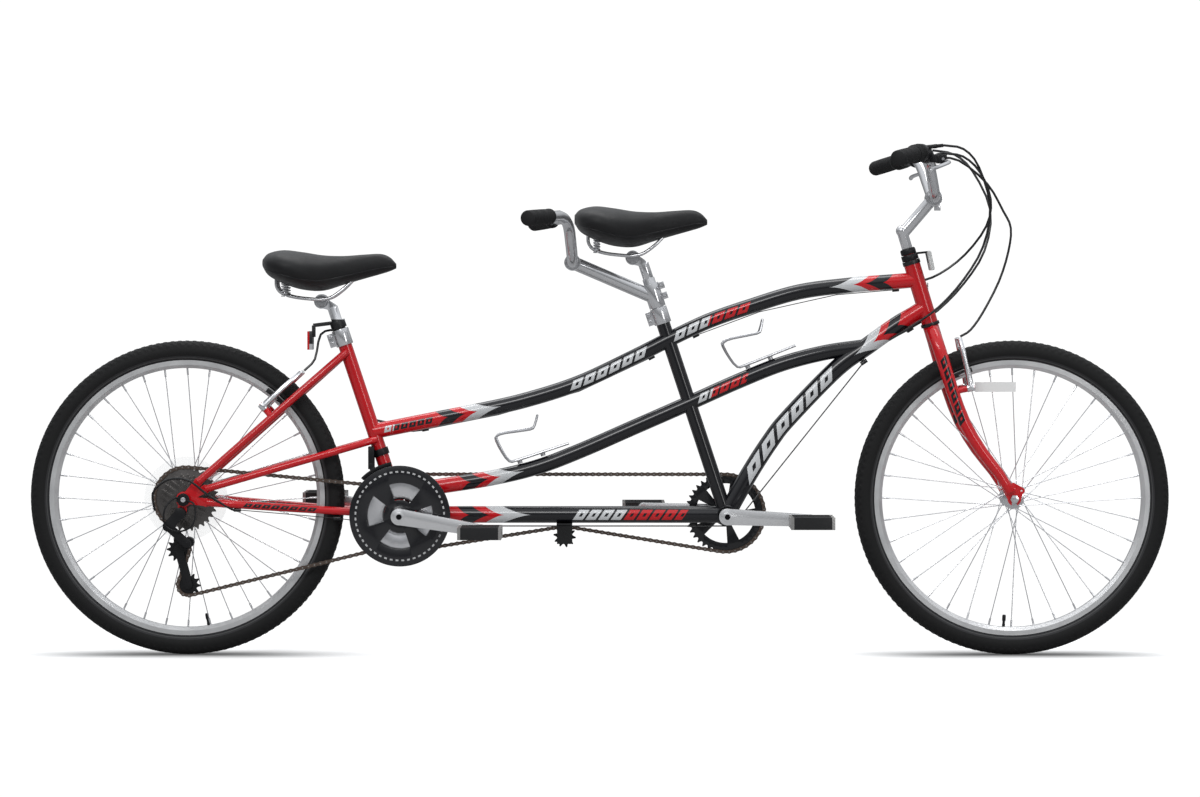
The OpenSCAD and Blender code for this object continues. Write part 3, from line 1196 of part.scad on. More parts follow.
head_tube();
top_tubes();
lateral_tubes();
down_tube();
boom_tube();
captain_seat_tube();
stoker_seat_tube();
seat_stays();
chain_stays();
seat_clamps();
bottle_cages();
frame_fittings();
derailleur_mounts();
drive_chain();
timing_chain();
frame_cables();
fork();
front_axle();
front_reflector();
front_brake_cable();
stem();
captain_handlebar();
right_shifter();
left_shifter();
right_brake_lever();
left_brake_lever();
front_tyre();
front_rim();
front_spokes();
front_hub();
rear_tyre();
rear_rim();
rear_spokes();
rear_hub();
freewheel();
chainrings();
rear_cranks();
front_cranks();
front_timing_ring();
pedal_rear_right();
pedal_rear_left();
pedal_front_right();
pedal_front_left();
chain_idler();
rear_derailleur_knuckle();
rear_derailleur_cage();
upper_jockey_wheel();
lower_jockey_wheel();
front_derailleur_cage();
front_brake_arm_right();
front_brake_arm_left();
rear_brake_arm_right();
rear_brake_arm_left();
captain_seatpost();
captain_saddle();
captain_saddle_rails();
stoker_handlebar();
stoker_seatpost();
stoker_saddle();
stoker_saddle_rails();
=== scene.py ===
"""Looks of a tandem bicycle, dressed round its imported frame.

Lengths are in metres. +X is forwards, +Y is the riders' left and +Z is up, as in the frame.
Each sub-assembly is a class that builds its meshes with numpy and gives every carried-over part its finish.
"""

import json
import logging
import math
from dataclasses import dataclass, field
from enum import Enum

import bmesh
import bpy
import numpy as np
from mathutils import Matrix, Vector


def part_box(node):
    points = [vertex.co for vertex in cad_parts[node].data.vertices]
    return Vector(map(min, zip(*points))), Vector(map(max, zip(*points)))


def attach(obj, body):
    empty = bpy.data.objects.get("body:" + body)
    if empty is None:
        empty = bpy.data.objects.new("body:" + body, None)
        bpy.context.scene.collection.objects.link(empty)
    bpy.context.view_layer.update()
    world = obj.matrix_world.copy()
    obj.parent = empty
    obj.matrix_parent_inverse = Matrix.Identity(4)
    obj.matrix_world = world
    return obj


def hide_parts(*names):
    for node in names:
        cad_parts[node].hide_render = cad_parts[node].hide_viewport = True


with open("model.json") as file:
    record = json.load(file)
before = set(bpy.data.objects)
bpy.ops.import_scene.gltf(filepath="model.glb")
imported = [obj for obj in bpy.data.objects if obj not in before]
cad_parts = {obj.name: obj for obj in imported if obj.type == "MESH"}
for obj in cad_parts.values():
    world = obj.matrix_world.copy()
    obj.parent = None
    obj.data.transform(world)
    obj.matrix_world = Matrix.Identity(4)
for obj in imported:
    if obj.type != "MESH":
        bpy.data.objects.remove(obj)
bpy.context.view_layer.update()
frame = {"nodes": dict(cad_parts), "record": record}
MERGE = 1e-6
WELD_GAP = 1e-5
CREASE_DEGREES = 32
WORN_EDGE_DEGREES = 50
HEAD_TUBE = 0.126
STOKER_TUBE = 0.369
REAR_BRAKE = (-0.6916, 0, 0.5139)
log = logging.getLogger("tandem")


# ---- small vector helpers -------------------------------------------------

def vec(*xyz: float) -> np.ndarray:
    """A point or direction as an array."""
    return np.array(xyz, float)


def unit(v: np.ndarray) -> np.ndarray:
    """The direction of v, or of each row of v."""
    return v / np.linalg.norm(v, axis=-1, keepdims=True)


def turned(angle: float) -> np.ndarray:
    """The unit vector at that angle in degrees from +X towards +Z."""
    a = math.radians(angle)
    return vec(math.cos(a), 0, math.sin(a))


def mirrored(points: np.ndarray) -> np.ndarray:
    """The points on the other side of the middle plane."""
    return points * vec(1, -1, 1)


def spline(points: np.ndarray, steps: int) -> np.ndarray:
    """A smooth curve through the points.

    Formula: between each pair of neighbours, the Catmull-Rom cubic of the four nearest points, whose
    weights are the rows of one 4 by 4 matrix applied to powers of the share t of the way.

    Args:
        points: the control points, one a row.
        steps: the rings between neighbours.

    Returns:
        The curve's points, one a row, its ends on the first and last control points.
    """
    p = np.vstack([2 * points[0] - points[1], points, 2 * points[-1] - points[-2]])
    t = np.arange(steps) / steps
    powers = np.stack([np.ones_like(t), t, t**2, t**3], 1)
    weights = 0.5 * np.array([[0, 2, 0, 0], [-1, 0, 1, 0], [2, -5, 4, -1], [-1, 3, -3, 1]], float)
    quads = np.stack([p[:-3], p[1:-2], p[2:-1], p[3:]], 1)
    curve = np.einsum("sk,kj,njd->nsd", powers, weights, quads).reshape(-1, points.shape[1])
    return np.vstack([curve, points[-1]])


def lengths(path: np.ndarray) -> np.ndarray:
    """The distance along the path from its first point to each point."""
    return np.concatenate([[0], np.cumsum(np.linalg.norm(np.diff(path, axis=0), axis=1))])


def resampled(path: np.ndarray, count: int) -> np.ndarray:
    """The path with that many points, evenly spaced along it."""
    s = lengths(path)
    at = np.linspace(0, s[-1], count)
    return np.stack([np.interp(at, s, path[:, k]) for k in range(path.shape[1])], 1)


# ---- meshes ---------------------------------------------------------------

@dataclass
class Skin:
    """A surface on its way to becoming a mesh: points, four-cornered faces and a UV pair for each point."""

    points: np.ndarray
    faces: np.ndarray
    uv: np.ndarray

    def __add__(self, other: "Skin") -> "Skin":
        """Both skins as one."""
        return Skin(np.vstack([self.points, other.points]), np.vstack([self.faces, other.faces + len(self.points)]),
                    np.vstack([self.uv, other.uv]))

    def flipped(self) -> "Skin":
        """The skin mirrored to the other side of the bicycle, its faces still outwards."""
        return Skin(mirrored(self.points), self.faces[:, ::-1], self.uv)


def joined(skins: list[Skin]) -> Skin:
    """All the skins as one."""
    total = skins[0]
    for skin in skins[1:]:
        total = total + skin
    return total


def grid(points: np.ndarray, uv: np.ndarray | None = None, wrap: bool = False) -> Skin:
    """A skin over a grid of points.

    Formula: the point at row i and column k is joined to its neighbours at i + 1 and k + 1, and where the
    grid wraps, the last column is joined to the first.

    Args:
        points: array of shape (rows, columns, 3).
        uv: array of shape (rows, columns, 2), or None for the row and column shares.
        wrap: whether the columns close on themselves.

    Returns:
        The skin, with faces in the order row, next row, next column.
    """
    rows, cols = points.shape[:2]
    if uv is None:
        uv = np.stack(np.meshgrid(np.linspace(0, 1, rows), np.linspace(0, 1, cols), indexing="ij"), -1)
    i, k = np.meshgrid(np.arange(rows - 1), np.arange(cols if wrap else cols - 1), indexing="ij")
    nxt = (k + 1) % cols
    faces = np.stack([i * cols + k, (i + 1) * cols + k, (i + 1) * cols + nxt, i * cols + nxt], -1).reshape(-1, 4)
    return Skin(points.reshape(-1, 3), faces, uv.reshape(-1, 2))


def carried_frames(path: np.ndarray) -> tuple[np.ndarray, np.ndarray, np.ndarray]:
    """Directions that ride along a path without twisting.

    Formula: the tangent is the central difference; the first normal is +Y, or +X on a path across the
    bicycle, and each later one is the last one made square to the new tangent.

    Returns:
        Tangents, normals and binormals, one row for each point of the path.
    """
    t = unit(np.gradient(path, axis=0))
    n = np.empty_like(t)
    ref = vec(0, 1, 0) if abs(t[0, 1]) < 0.9 else vec(1, 0, 0)
    for i, tangent in enumerate(t):
        ref = unit(ref - (ref @ tangent) * tangent)
        n[i] = ref
    return t, n, np.cross(t, n)


def sweep(path: np.ndarray, radius: float | np.ndarray, around: int = 24, flat: float = 1.0, caps: bool = True,
          height: np.ndarray | None = None) -> Skin:
    """A round or oval tube along a path.

    Formula: point = path + r cos(a) normal + flat r sin(a) binormal, for a from 0 to a full turn; caps add
    a ring of radius zero at each end.

    Args:
        path: the centre line, one point a row.
        radius: the radius, or one for each point.
        around: points round the tube.
        flat: the binormal radius as a share of the normal radius.
        caps: whether the ends are closed.
        height: radii used along the binormal instead of flat times radius.

    Returns:
        The skin. Its UV holds the centre line's X and the height of each point above the centre line as a
        share of the radius.
    """
    r = np.broadcast_to(np.asarray(radius, float), (len(path),)).copy()
    h = r * flat if height is None else np.asarray(height, float).copy()
    if caps:
        path = np.vstack([path[0], path, path[-1]])
        r, h = np.concatenate([[0], r, [0]]), np.concatenate([[0], h, [0]])
        t, n, b = carried_frames(path[1:-1])
        t, n, b = (np.vstack([d[0], d, d[-1]]) for d in (t, n, b))
    else:
        t, n, b = carried_frames(path)
    a = np.linspace(0, 2 * math.pi, around, endpoint=False)
    offset = (r[:, None, None] * np.cos(a)[None, :, None] * n[:, None]
              + h[:, None, None] * np.sin(a)[None, :, None] * b[:, None])
    points = path[:, None] + offset
    up = np.sin(a)[None, :] * np.sign(b[:, 2:3] + 1e-12)
    uv = np.stack([np.broadcast_to(path[:, 0:1], up.shape), np.broadcast_to(up, (len(path), around))], -1)
    return grid(points, uv, wrap=True)


def revolve(profile: np.ndarray, centre: np.ndarray, axis: np.ndarray, around: int = 64) -> Skin:
    """A surface of revolution.

    Formula: a profile point [r, h] becomes centre + h axis + r (cos(a) e1 + sin(a) e2), where e1 and e2
    are square to the axis.

    Args:
        profile: rows of radius and height along the axis, in order.
        centre: the point of the axis at height zero.
        axis: the axis direction.
        around: points round the axis.

    Returns:
        The skin, its UV the share round the axis and the share along the profile.
    """
    w = unit(np.asarray(axis, float))
    ref = vec(0, 1, 0) if abs(w[1]) < 0.9 else vec(1, 0, 0)
    e1 = unit(np.cross(ref, w))
    e2 = np.cross(w, e1)
    a = np.linspace(0, 2 * math.pi, around, endpoint=False)
    spin = np.cos(a)[:, None] * e1 + np.sin(a)[:, None] * e2
    points = centre + profile[:, 1][:, None, None] * w + profile[:, 0][:, None, None] * spin[None]
    uv = np.stack(np.meshgrid(lengths(profile), a / (2 * math.pi), indexing="ij")[::-1], -1)
    return grid(points, uv, wrap=True)


def barrel(a: np.ndarray, b: np.ndarray, outline: list[tuple[float, float]], around: int = 32) -> Skin:
    """A turned part from a to b; the outline gives [share of the way, radius], and both ends are closed."""
    length = float(np.linalg.norm(b - a))
    rows = [(0.0, outline[0][0] * length)] + [(r, t * length) for t, r in outline] + [(0.0, outline[-1][0] * length)]
    return revolve(np.array(rows), a, b - a, around)


def slab(corners: np.ndarray, y0: float, y1: float) -> Skin:
    """A plate in the side plane between y0 and y1, its outline the [x, z] corners, fanned from their middle."""
    middle = corners.mean(0)
    ring = np.vstack([corners, corners[:1]])
    flat = np.repeat(middle[None], len(ring), 0)
    rows = [(flat, y0), (ring, y0), (ring, y1), (flat, y1)]
    points = np.stack([np.stack([c[:, 0], np.full(len(c), y), c[:, 1]], 1) for c, y in rows])
    return grid(points)


def rounded_box(low: np.ndarray, high: np.ndarray, r: float, rows: int = 13) -> Skin:
    """A box with round edges.

    Formula: a sphere of directions is pushed out to the box's inner corner by the sign of each component,
    then out by r, so its octants become the eight round corners.
    """
    half = (high - low) / 2 - r
    lat = np.linspace(-math.pi / 2, math.pi / 2, rows)
    lat = np.insert(lat, rows // 2, 0.0)
    lon = np.linspace(0, 2 * math.pi, 4 * (rows // 2) + 1)[:-1] + 0.001
    d = np.stack([np.cos(lat)[:, None] * np.cos(lon), np.cos(lat)[:, None] * np.sin(lon),
                  np.sin(lat)[:, None] * np.ones_like(lon)], -1)
    side = np.sign(np.where(np.abs(d) < 1e-9, 1.0, d))
    side[: rows // 2 + 1, :, 2] = -1
    side[rows // 2 + 1:, :, 2] = 1
    return grid((low + high) / 2 + side * half + r * d, wrap=True)


def tilt_about(points: np.ndarray, centre: np.ndarray, degrees: float) -> np.ndarray:
    """The points turned about the Y axis through centre, noses up for positive degrees."""
    a = math.radians(degrees)
    q = points - centre
    return centre + np.stack([q[..., 0] * math.cos(a) - q[..., 2] * math.sin(a), q[..., 1],
                              q[..., 0] * math.sin(a) + q[..., 2] * math.cos(a)], -1)


def tilted(skin: Skin, centre: np.ndarray, degrees: float) -> Skin:
    """The skin turned about the Y axis through centre."""
    return Skin(tilt_about(skin.points, centre, degrees), skin.faces, skin.uv)


# ---- materials ------------------------------------------------------------

class Graph:
    """A material's nodes, with short calls that make and join them."""

    def __init__(self, name: str) -> None:
        """Makes an empty material with one Principled shader."""
        self.material = bpy.data.materials.new(name)
        self.material.use_nodes = True
        self.tree = self.material.node_tree
        self.shader = self.tree.nodes["Principled BSDF"]

    def node(self, kind: str, **settings) -> bpy.types.Node:
        """A new node of the kind, with its own properties set."""
        made = self.tree.nodes.new(kind)
        for key, value in settings.items():
            setattr(made, key, value)
        return made

    def put(self, socket: bpy.types.NodeSocket, value) -> None:
        """Joins a socket to another one, or sets its constant."""
        if isinstance(value, bpy.types.NodeSocket):
            self.tree.links.new(value, socket)
        else:
            socket.default_value = value

    def set(self, **values) -> None:
        """Sets or joins the shader's inputs, named with underscores for spaces."""
        for key, value in values.items():
            self.put(self.shader.inputs[key.replace("_", " ")], value)

    def math(self, operation: str, a, b=0.0, clamp: bool = False) -> bpy.types.NodeSocket:
        """One Math node's result."""
        made = self.node("ShaderNodeMath", operation=operation, use_clamp=clamp)
        self.put(made.inputs[0], a)
        self.put(made.inputs[1], b)
        return made.outputs[0]

    def mix(self, factor, a, b) -> bpy.types.NodeSocket:
        """A colour between a at factor 0 and b at factor 1."""
        made = self.node("ShaderNodeMix", data_type="RGBA")
        self.put(made.inputs[0], factor)
        self.put(made.inputs[6], a)
        self.put(made.inputs[7], b)
        return made.outputs[2]

    def blend(self, factor, a: float, b: float) -> bpy.types.NodeSocket:
        """A number between a at factor 0 and b at factor 1."""
        made = self.node("ShaderNodeMapRange")
        self.put(made.inputs[0], factor)
        made.inputs[3].default_value = a
        made.inputs[4].default_value = b
        return made.outputs[0]

    def place(self) -> bpy.types.NodeSocket:
        """Object coordinates."""
        return self.node("ShaderNodeTexCoord").outputs["Object"]

    def split(self, vector) -> tuple[bpy.types.NodeSocket, bpy.types.NodeSocket, bpy.types.NodeSocket]:
        """The three parts of a vector."""
        made = self.node("ShaderNodeSeparateXYZ")
        self.put(made.inputs[0], vector)
        return made.outputs[0], made.outputs[1], made.outputs[2]

    def from_axle(self, centre: tuple[float, float]) -> bpy.types.NodeSocket:
        """The distance from a centre, given as X and Z, in the side plane."""
        x, _, z = self.split(self.place())
        dx, dz = self.math("SUBTRACT", x, centre[0]), self.math("SUBTRACT", z, centre[1])
        return self.math("SQRT", self.math("ADD", self.math("MULTIPLY", dx, dx), self.math("MULTIPLY", dz, dz)))

    def uv(self) -> tuple[bpy.types.NodeSocket, bpy.types.NodeSocket]:
        """The piece's own UV pair."""
        parts = self.split(self.node("ShaderNodeUVMap", uv_map="UVMap").outputs[0])
        return parts[0], parts[1]

    def noise(self, scale: float, detail: float = 3.0, stretch: tuple[float, float, float] = (1, 1, 1)):
        """Fractal noise on Object coordinates, from 0 to 1."""
        mapping = self.node("ShaderNodeMapping")
        self.put(mapping.inputs[0], self.place())
        mapping.inputs["Scale"].default_value = stretch
        made = self.node("ShaderNodeTexNoise")
        self.put(made.inputs["Vector"], mapping.outputs[0])
        made.inputs["Scale"].default_value = scale
        made.inputs["Detail"].default_value = detail
        return made.outputs["Fac"]

    def cells(self, scale: float, feature: str = "F1") -> bpy.types.NodeSocket:
        """Distance to the nearest of a scatter of points, or to the edges between their cells."""
        made = self.node("ShaderNodeTexVoronoi", feature=feature)
        self.put(made.inputs["Vector"], self.place())
        made.inputs["Scale"].default_value = scale
        return made.outputs["Distance"]

    def bump(self, height, strength: float, depth: float) -> None:
        """Bends the shader's normal by a height field of that depth in metres."""
        made = self.node("ShaderNodeBump")
        made.inputs["Strength"].default_value = strength
        made.inputs["Distance"].default_value = depth
        self.put(made.inputs["Height"], height)
        self.put(self.shader.inputs["Normal"], made.outputs[0])


class Shade(Enum):
    """The bicycle's colours, as linear red, green and blue."""

    RED = (0.56, 0.003, 0.008, 1)
    BLACK = (0.0022, 0.0022, 0.0045, 1)
    SILVER = (0.62, 0.63, 0.64, 1)
    CHROME = (0.80, 0.80, 0.82, 1)
    ALLOY = (0.60, 0.60, 0.62, 1)
    STEEL = (0.42, 0.41, 0.40, 1)
    CHAIN = (0.16, 0.12, 0.10, 1)
    COG = (0.15, 0.14, 0.135, 1)
    PLASTIC = (0.005, 0.005, 0.006, 1)
    RUBBER = (0.007, 0.007, 0.0075, 1)
    SIDEWALL = (0.030, 0.030, 0.032, 1)
    VINYL = (0.0035, 0.0035, 0.004, 1)
    CLEAR = (0.90, 0.92, 0.93, 1)
    WHITE = (0.85, 0.85, 0.84, 1)
    LENS = (0.55, 0.008, 0.010, 1)


@dataclass(frozen=True)
class Metal:
    """A bare or plated metal with faint polishing marks.

    Attributes:
        name: the material's name.
        shade: its colour.
        rough: its mean roughness.
        grain: how far the roughness wanders.
        stretch: how the polishing marks are drawn out along X, Y and Z.
    """

    name: str
    shade: Shade
    rough: float = 0.16
    grain: float = 0.08
    stretch: tuple[float, float, float] = (1, 1, 1)

    def build(self) -> bpy.types.Material:
        """The material."""
        g = Graph(self.name)
        marks = g.noise(420, 4, self.stretch)
        haze = g.noise(24, 2)
        wear = g.math("MULTIPLY", marks, haze)
        dark = tuple(c * 0.72 for c in self.shade.value[:3]) + (1,)
        g.set(Base_Color=g.mix(wear, dark, self.shade.value), Metallic=0.78,
              Roughness=g.blend(wear, self.rough - self.grain / 2, self.rough + self.grain))
        g.bump(marks, 0.06, 0.0002)
        return g.material


@dataclass(frozen=True)
class Moulded:
    """Plastic or rubber with a fine moulded grain.

    Attributes:
        name: the material's name.
        shade: its colour.
        rough: its mean roughness.
        grain: cells in a metre of the moulded grain.
        depth: depth of the grain in metres.
    """

    name: str
    shade: Shade
    rough: float = 0.45
    grain: float = 1500
    depth: float = 0.0003

    def build(self) -> bpy.types.Material:
        """The material."""
        g = Graph(self.name)
        fine = g.cells(self.grain)
        dust = g.noise(35, 5)
        pale = tuple(min(1, c * 1.7 + 0.002) for c in self.shade.value[:3]) + (1,)
        g.set(Base_Color=g.mix(g.math("MULTIPLY", dust, 0.6), self.shade.value, pale),
              Roughness=g.blend(dust, self.rough - 0.08, self.rough + 0.1), Specular_IOR_Level=0.28)
        g.bump(fine, 0.25, self.depth)
        return g.material


def lacquer(g: Graph, colour) -> None:
    """Gives the shader a wet-look paint under clear coat, with a faint orange peel."""
    peel = g.noise(160, 1)
    g.set(Base_Color=colour, Roughness=g.blend(g.noise(9, 3), 0.28, 0.36), Specular_IOR_Level=0.2,
          Coat_Weight=0.8, Coat_Roughness=0.04, Coat_IOR=1.5)
    g.bump(peel, 0.05, 0.0004)


@dataclass(frozen=True)
class Gloss:
    """One-colour gloss paint with a faint shift of tone."""

    name: str
    shade: Shade

    def build(self) -> bpy.types.Material:
        """The material."""
        g = Graph(self.name)
        deep = tuple(c * 0.8 for c in self.shade.value[:3]) + (1,)
        lacquer(g, g.mix(g.noise(14, 2), deep, self.shade.value))
        return g.material


@dataclass(frozen=True)
class Dashes:
    """A run of slanted dashes on a tube's sides, in the place of a printed name.

    Attributes:
        start: X where the run begins, in metres.
        end: X where it ends.
        first: colour of its first part.
        second: colour of its second part.
        change: share of the run where the colour changes.
        tall: height as a share of the tube's radius.
        slant: how far a dash leans over its height, in metres.
        pitch: distance between dashes.
    """

    start: float
    end: float
    first: Shade = Shade.SILVER
    second: Shade = Shade.RED
    change: float = 0.5
    tall: float = 0.55
    slant: float = 0.012
    pitch: float = 0.0262

    def over(self, g: Graph, x, height, ground):
        """The ground colour with the dashes laid over it."""
        lean = g.math("SUBTRACT", x, g.math("MULTIPLY", height, self.slant))
        step = g.math("FRACT", g.math("DIVIDE", g.math("SUBTRACT", lean, self.start), self.pitch))
        body = g.math("LESS_THAN", step, 0.80)
        slot = g.math("MULTIPLY", g.math("GREATER_THAN", step, 0.30), g.math("LESS_THAN", step, 0.52))
        band = g.math("LESS_THAN", g.math("ABSOLUTE", height), self.tall * 0.34)
        body = g.math("SUBTRACT", body, g.math("MULTIPLY", slot, band), clamp=True)
        inside = g.math("MULTIPLY", g.math("GREATER_THAN", lean, self.start), g.math("LESS_THAN", lean, self.end))
        tall = g.math("LESS_THAN", g.math("ABSOLUTE", height), self.tall)
        mask = g.math("MULTIPLY", g.math("MULTIPLY", body, inside), tall)
        middle = self.start + self.change * (self.end - self.start)
        ink = g.mix(g.math("GREATER_THAN", lean, middle), self.first.value, self.second.value)
        return g.mix(mask, ground, ink)


@dataclass(frozen=True)
class Flash:
    """Tube paint: gloss red at one end, an arrowhead of black, red and silver, then gloss black.

    Attributes:
        name: the material's name.
        start: X where the arrowhead's tail meets the tube's edge, in metres.
        ahead: +1 if the arrow points forwards, -1 if it points back.
        dashes: the dashes printed on the tube.
        scale: size of the arrowhead along the tube.
        black: whether the tube is black all along, with no arrowhead.
    """

    name: str
    start: float
    ahead: int
    dashes: tuple[Dashes, ...] = ()
    scale: float = 1.0
    black: bool = False

    def build(self) -> bpy.types.Material:
        """The material.

        Formula: each border of the arrowhead lies at edge + reach (1 - |h| ** 0.62) past the start, where
        h is the height above the tube's middle as a share of its radius.
        """
        g = Graph(self.name)
        x, height = g.uv()
        past = g.math("MULTIPLY", g.math("SUBTRACT", x, self.start), float(self.ahead))
        point = g.math("SUBTRACT", 1.0, g.math("POWER", g.math("ABSOLUTE", height), 0.62))
        borders = ((0.0, 0.023), (0.027, 0.035), (0.050, 0.036), (0.082, 0.052))
        colours = (Shade.BLACK, Shade.RED, Shade.SILVER, Shade.BLACK)
        stripes = g.math("FRACT", g.math("MULTIPLY", g.math("SUBTRACT", past, g.math("MULTIPLY", point, 0.045)), 190.0))
        lines = g.math("MULTIPLY", g.math("LESS_THAN", stripes, 0.25), 0.55)
        colour = Shade.BLACK.value if self.black else Shade.RED.value
        for (edge, reach), shade in () if self.black else zip(borders, colours):
            border = g.math("ADD", g.math("MULTIPLY", point, reach * self.scale), edge * self.scale)
            ink = g.mix(lines, shade.value, (0.25, 0.26, 0.27, 1)) if shade is Shade.SILVER else shade.value
            colour = g.mix(g.math("GREATER_THAN", past, border), colour, ink)
        for run in self.dashes:
            colour = run.over(g, x, height, colour)
        lacquer(g, colour)
        return g.material


@dataclass(frozen=True)
class Zone:
    """A part of a carried-over node with its own look: where Object coordinates lie between two corners.

    Attributes:
        low: the lowest corner.
        high: the highest corner.
        shade: the colour there.
        metal: whether it is metal there.
        rough: the roughness there.
    """

    low: tuple[float, float, float]
    high: tuple[float, float, float]
    shade: Shade
    metal: bool = False
    rough: float = 0.4


@dataclass(frozen=True)
class Zoned:
    """A finish for a node that holds several materials, told apart by where they are."""

    name: str
    shade: Shade
    metal: bool = False
    rough: float = 0.4
    zones: tuple[Zone, ...] = ()

    def build(self) -> bpy.types.Material:
        """The material."""
        g = Graph(self.name)
        parts = g.split(g.place())
        grain = g.noise(300, 3)
        colour, metal, rough = self.shade.value, float(self.metal), self.rough
        for zone in self.zones:
            mask = 1.0
            for part, low, high in zip(parts, zone.low, zone.high):
                mask = g.math("MULTIPLY", mask, g.math("MULTIPLY", g.math("GREATER_THAN", part, low),
                                                      g.math("LESS_THAN", part, high)))
            colour = g.mix(mask, colour, zone.shade.value)
            metal = self.step(g, mask, metal, float(zone.metal))
            rough = self.step(g, mask, rough, zone.rough)
        worn = g.math("ADD", g.math("MULTIPLY", grain, 0.12), g.math("SUBTRACT", rough, 0.06))
        g.set(Base_Color=colour, Metallic=metal, Roughness=worn)
        g.bump(grain, 0.1, 0.0002)
        return g.material

    @staticmethod
    def step(g: Graph, mask, a, b):
        """The number a where the mask is 0 and b where it is 1."""
        return g.math("ADD", g.math("MULTIPLY", g.math("SUBTRACT", 1.0, mask), a), g.math("MULTIPLY", mask, b))


@dataclass(frozen=True)
class Clear:
    """Clear or tinted plastic, with small prisms on a reflector.

    Attributes:
        name: the material's name.
        shade: its colour.
        through: share of the light it bends through itself.
        prisms: prisms in a metre, or 0 for none.
        cover: share of what lies behind that it hides.
    """

    name: str
    shade: Shade
    through: float = 0.85
    prisms: float = 0.0
    cover: float = 1.0

    def build(self) -> bpy.types.Material:
        """The material."""
        g = Graph(self.name)
        g.set(Base_Color=self.shade.value, Roughness=g.blend(g.noise(60, 2), 0.06, 0.16),
              Transmission_Weight=self.through, IOR=1.45, Coat_Weight=0.6, Coat_Roughness=0.03, Alpha=self.cover)
        if self.prisms:
            g.bump(g.cells(self.prisms), 0.9, 0.0015)
        return g.material


@dataclass(frozen=True)
class Tread:
    """Tyre rubber: dull black, its lower wall paler with one moulded ring on each side.

    Attributes:
        name: the material's name.
        wall: radius in metres up to which the paler wall reaches.
        axle: the wheel's centre as X and Z.
    """

    name: str
    wall: float
    axle: tuple[float, float]

    def build(self) -> bpy.types.Material:
        """The material. The radius is the distance from the axle in the side plane."""
        g = Graph(self.name)
        r = g.from_axle(self.axle)
        pale = g.math("LESS_THAN", r, self.wall)
        ring = g.math("LESS_THAN", g.math("ABSOLUTE", g.math("SUBTRACT", r, self.wall - 0.004)), 0.0008)
        dust = g.noise(70, 6)
        base = g.mix(g.math("MULTIPLY", dust, 0.5), Shade.RUBBER.value, (0.016, 0.016, 0.0155, 1))
        colour = g.mix(ring, g.mix(pale, base, Shade.SIDEWALL.value), (0.07, 0.07, 0.07, 1))
        g.set(Base_Color=colour, Roughness=g.blend(dust, 0.55, 0.8), Specular_IOR_Level=0.22)
        g.bump(g.cells(1100), 0.3, 0.0003)
        return g.material


@dataclass(frozen=True)
class BrakeTrack:
    """A rim: machined with rings where the pads rub, satin elsewhere."""

    name: str
    axle: tuple[float, float]

    def build(self) -> bpy.types.Material:
        """The material. The rings follow the distance from the axle in the side plane."""
        g = Graph(self.name)
        r = g.from_axle(self.axle)
        rings = g.math("SINE", g.math("MULTIPLY", r, 9000.0))
        haze = g.noise(30, 4)
        g.set(Base_Color=g.mix(haze, (0.60, 0.60, 0.61, 1), (0.80, 0.80, 0.80, 1)), Metallic=0.75,
              Roughness=g.blend(haze, 0.24, 0.4))
        g.bump(rings, 0.12, 0.0001)
        return g.material


@dataclass(frozen=True)
class Vinyl:
    """Saddle cover: black vinyl with a pebbled grain and a soft sheen."""

    name: str

    def build(self) -> bpy.types.Material:
        """The material."""
        g = Graph(self.name)
        pebbles = g.cells(520, "DISTANCE_TO_EDGE")
        folds = g.noise(18, 4)
        height = g.math("ADD", g.math("MULTIPLY", pebbles, 2.0, clamp=True), g.math("MULTIPLY", folds, 0.4))
        g.set(Base_Color=g.mix(folds, Shade.VINYL.value, (0.007, 0.007, 0.008, 1)),
              Roughness=g.blend(folds, 0.38, 0.54), Specular_IOR_Level=0.3, Sheen_Weight=0.06, Sheen_Roughness=0.5)
        g.bump(height, 0.35, 0.0006)
        return g.material


class Paints:
    """Every shared finish, made once and handed out by name."""

    def __init__(self) -> None:
        """Makes the shared finishes."""
        self.red = Gloss("gloss_red", Shade.RED).build()
        self.black = Gloss("gloss_black", Shade.BLACK).build()
        self.chrome = Metal("chrome_plate", Shade.CHROME, 0.09, 0.05).build()
        self.alloy = Metal("satin_alloy", Shade.ALLOY, 0.30, 0.10).build()
        self.polished = Metal("polished_alloy", Shade.CHROME, 0.18, 0.08, (1, 6, 6)).build()
        self.links = Metal("chain_steel", Shade.CHAIN, 0.38, 0.12).build()
        self.rollers = Metal("roller_steel", Shade.STEEL, 0.28, 0.10).build()
        self.plastic = Moulded("black_plastic", Shade.PLASTIC, 0.38, 1400, 0.0002).build()
        self.jacket = Moulded("cable_jacket", Shade.PLASTIC, 0.30, 900, 0.0001).build()
        self.grip = Moulded("grip_rubber", Shade.RUBBER, 0.62, 700, 0.0005).build()
        self.vinyl = Vinyl("saddle_vinyl").build()
        self.clear = Clear("clear_plastic", Shade.CLEAR, 0.0, cover=0.14).build()
        self.white_lens = Clear("white_reflector", Shade.WHITE, 0.35, 420).build()


# ---- pieces ---------------------------------------------------------------

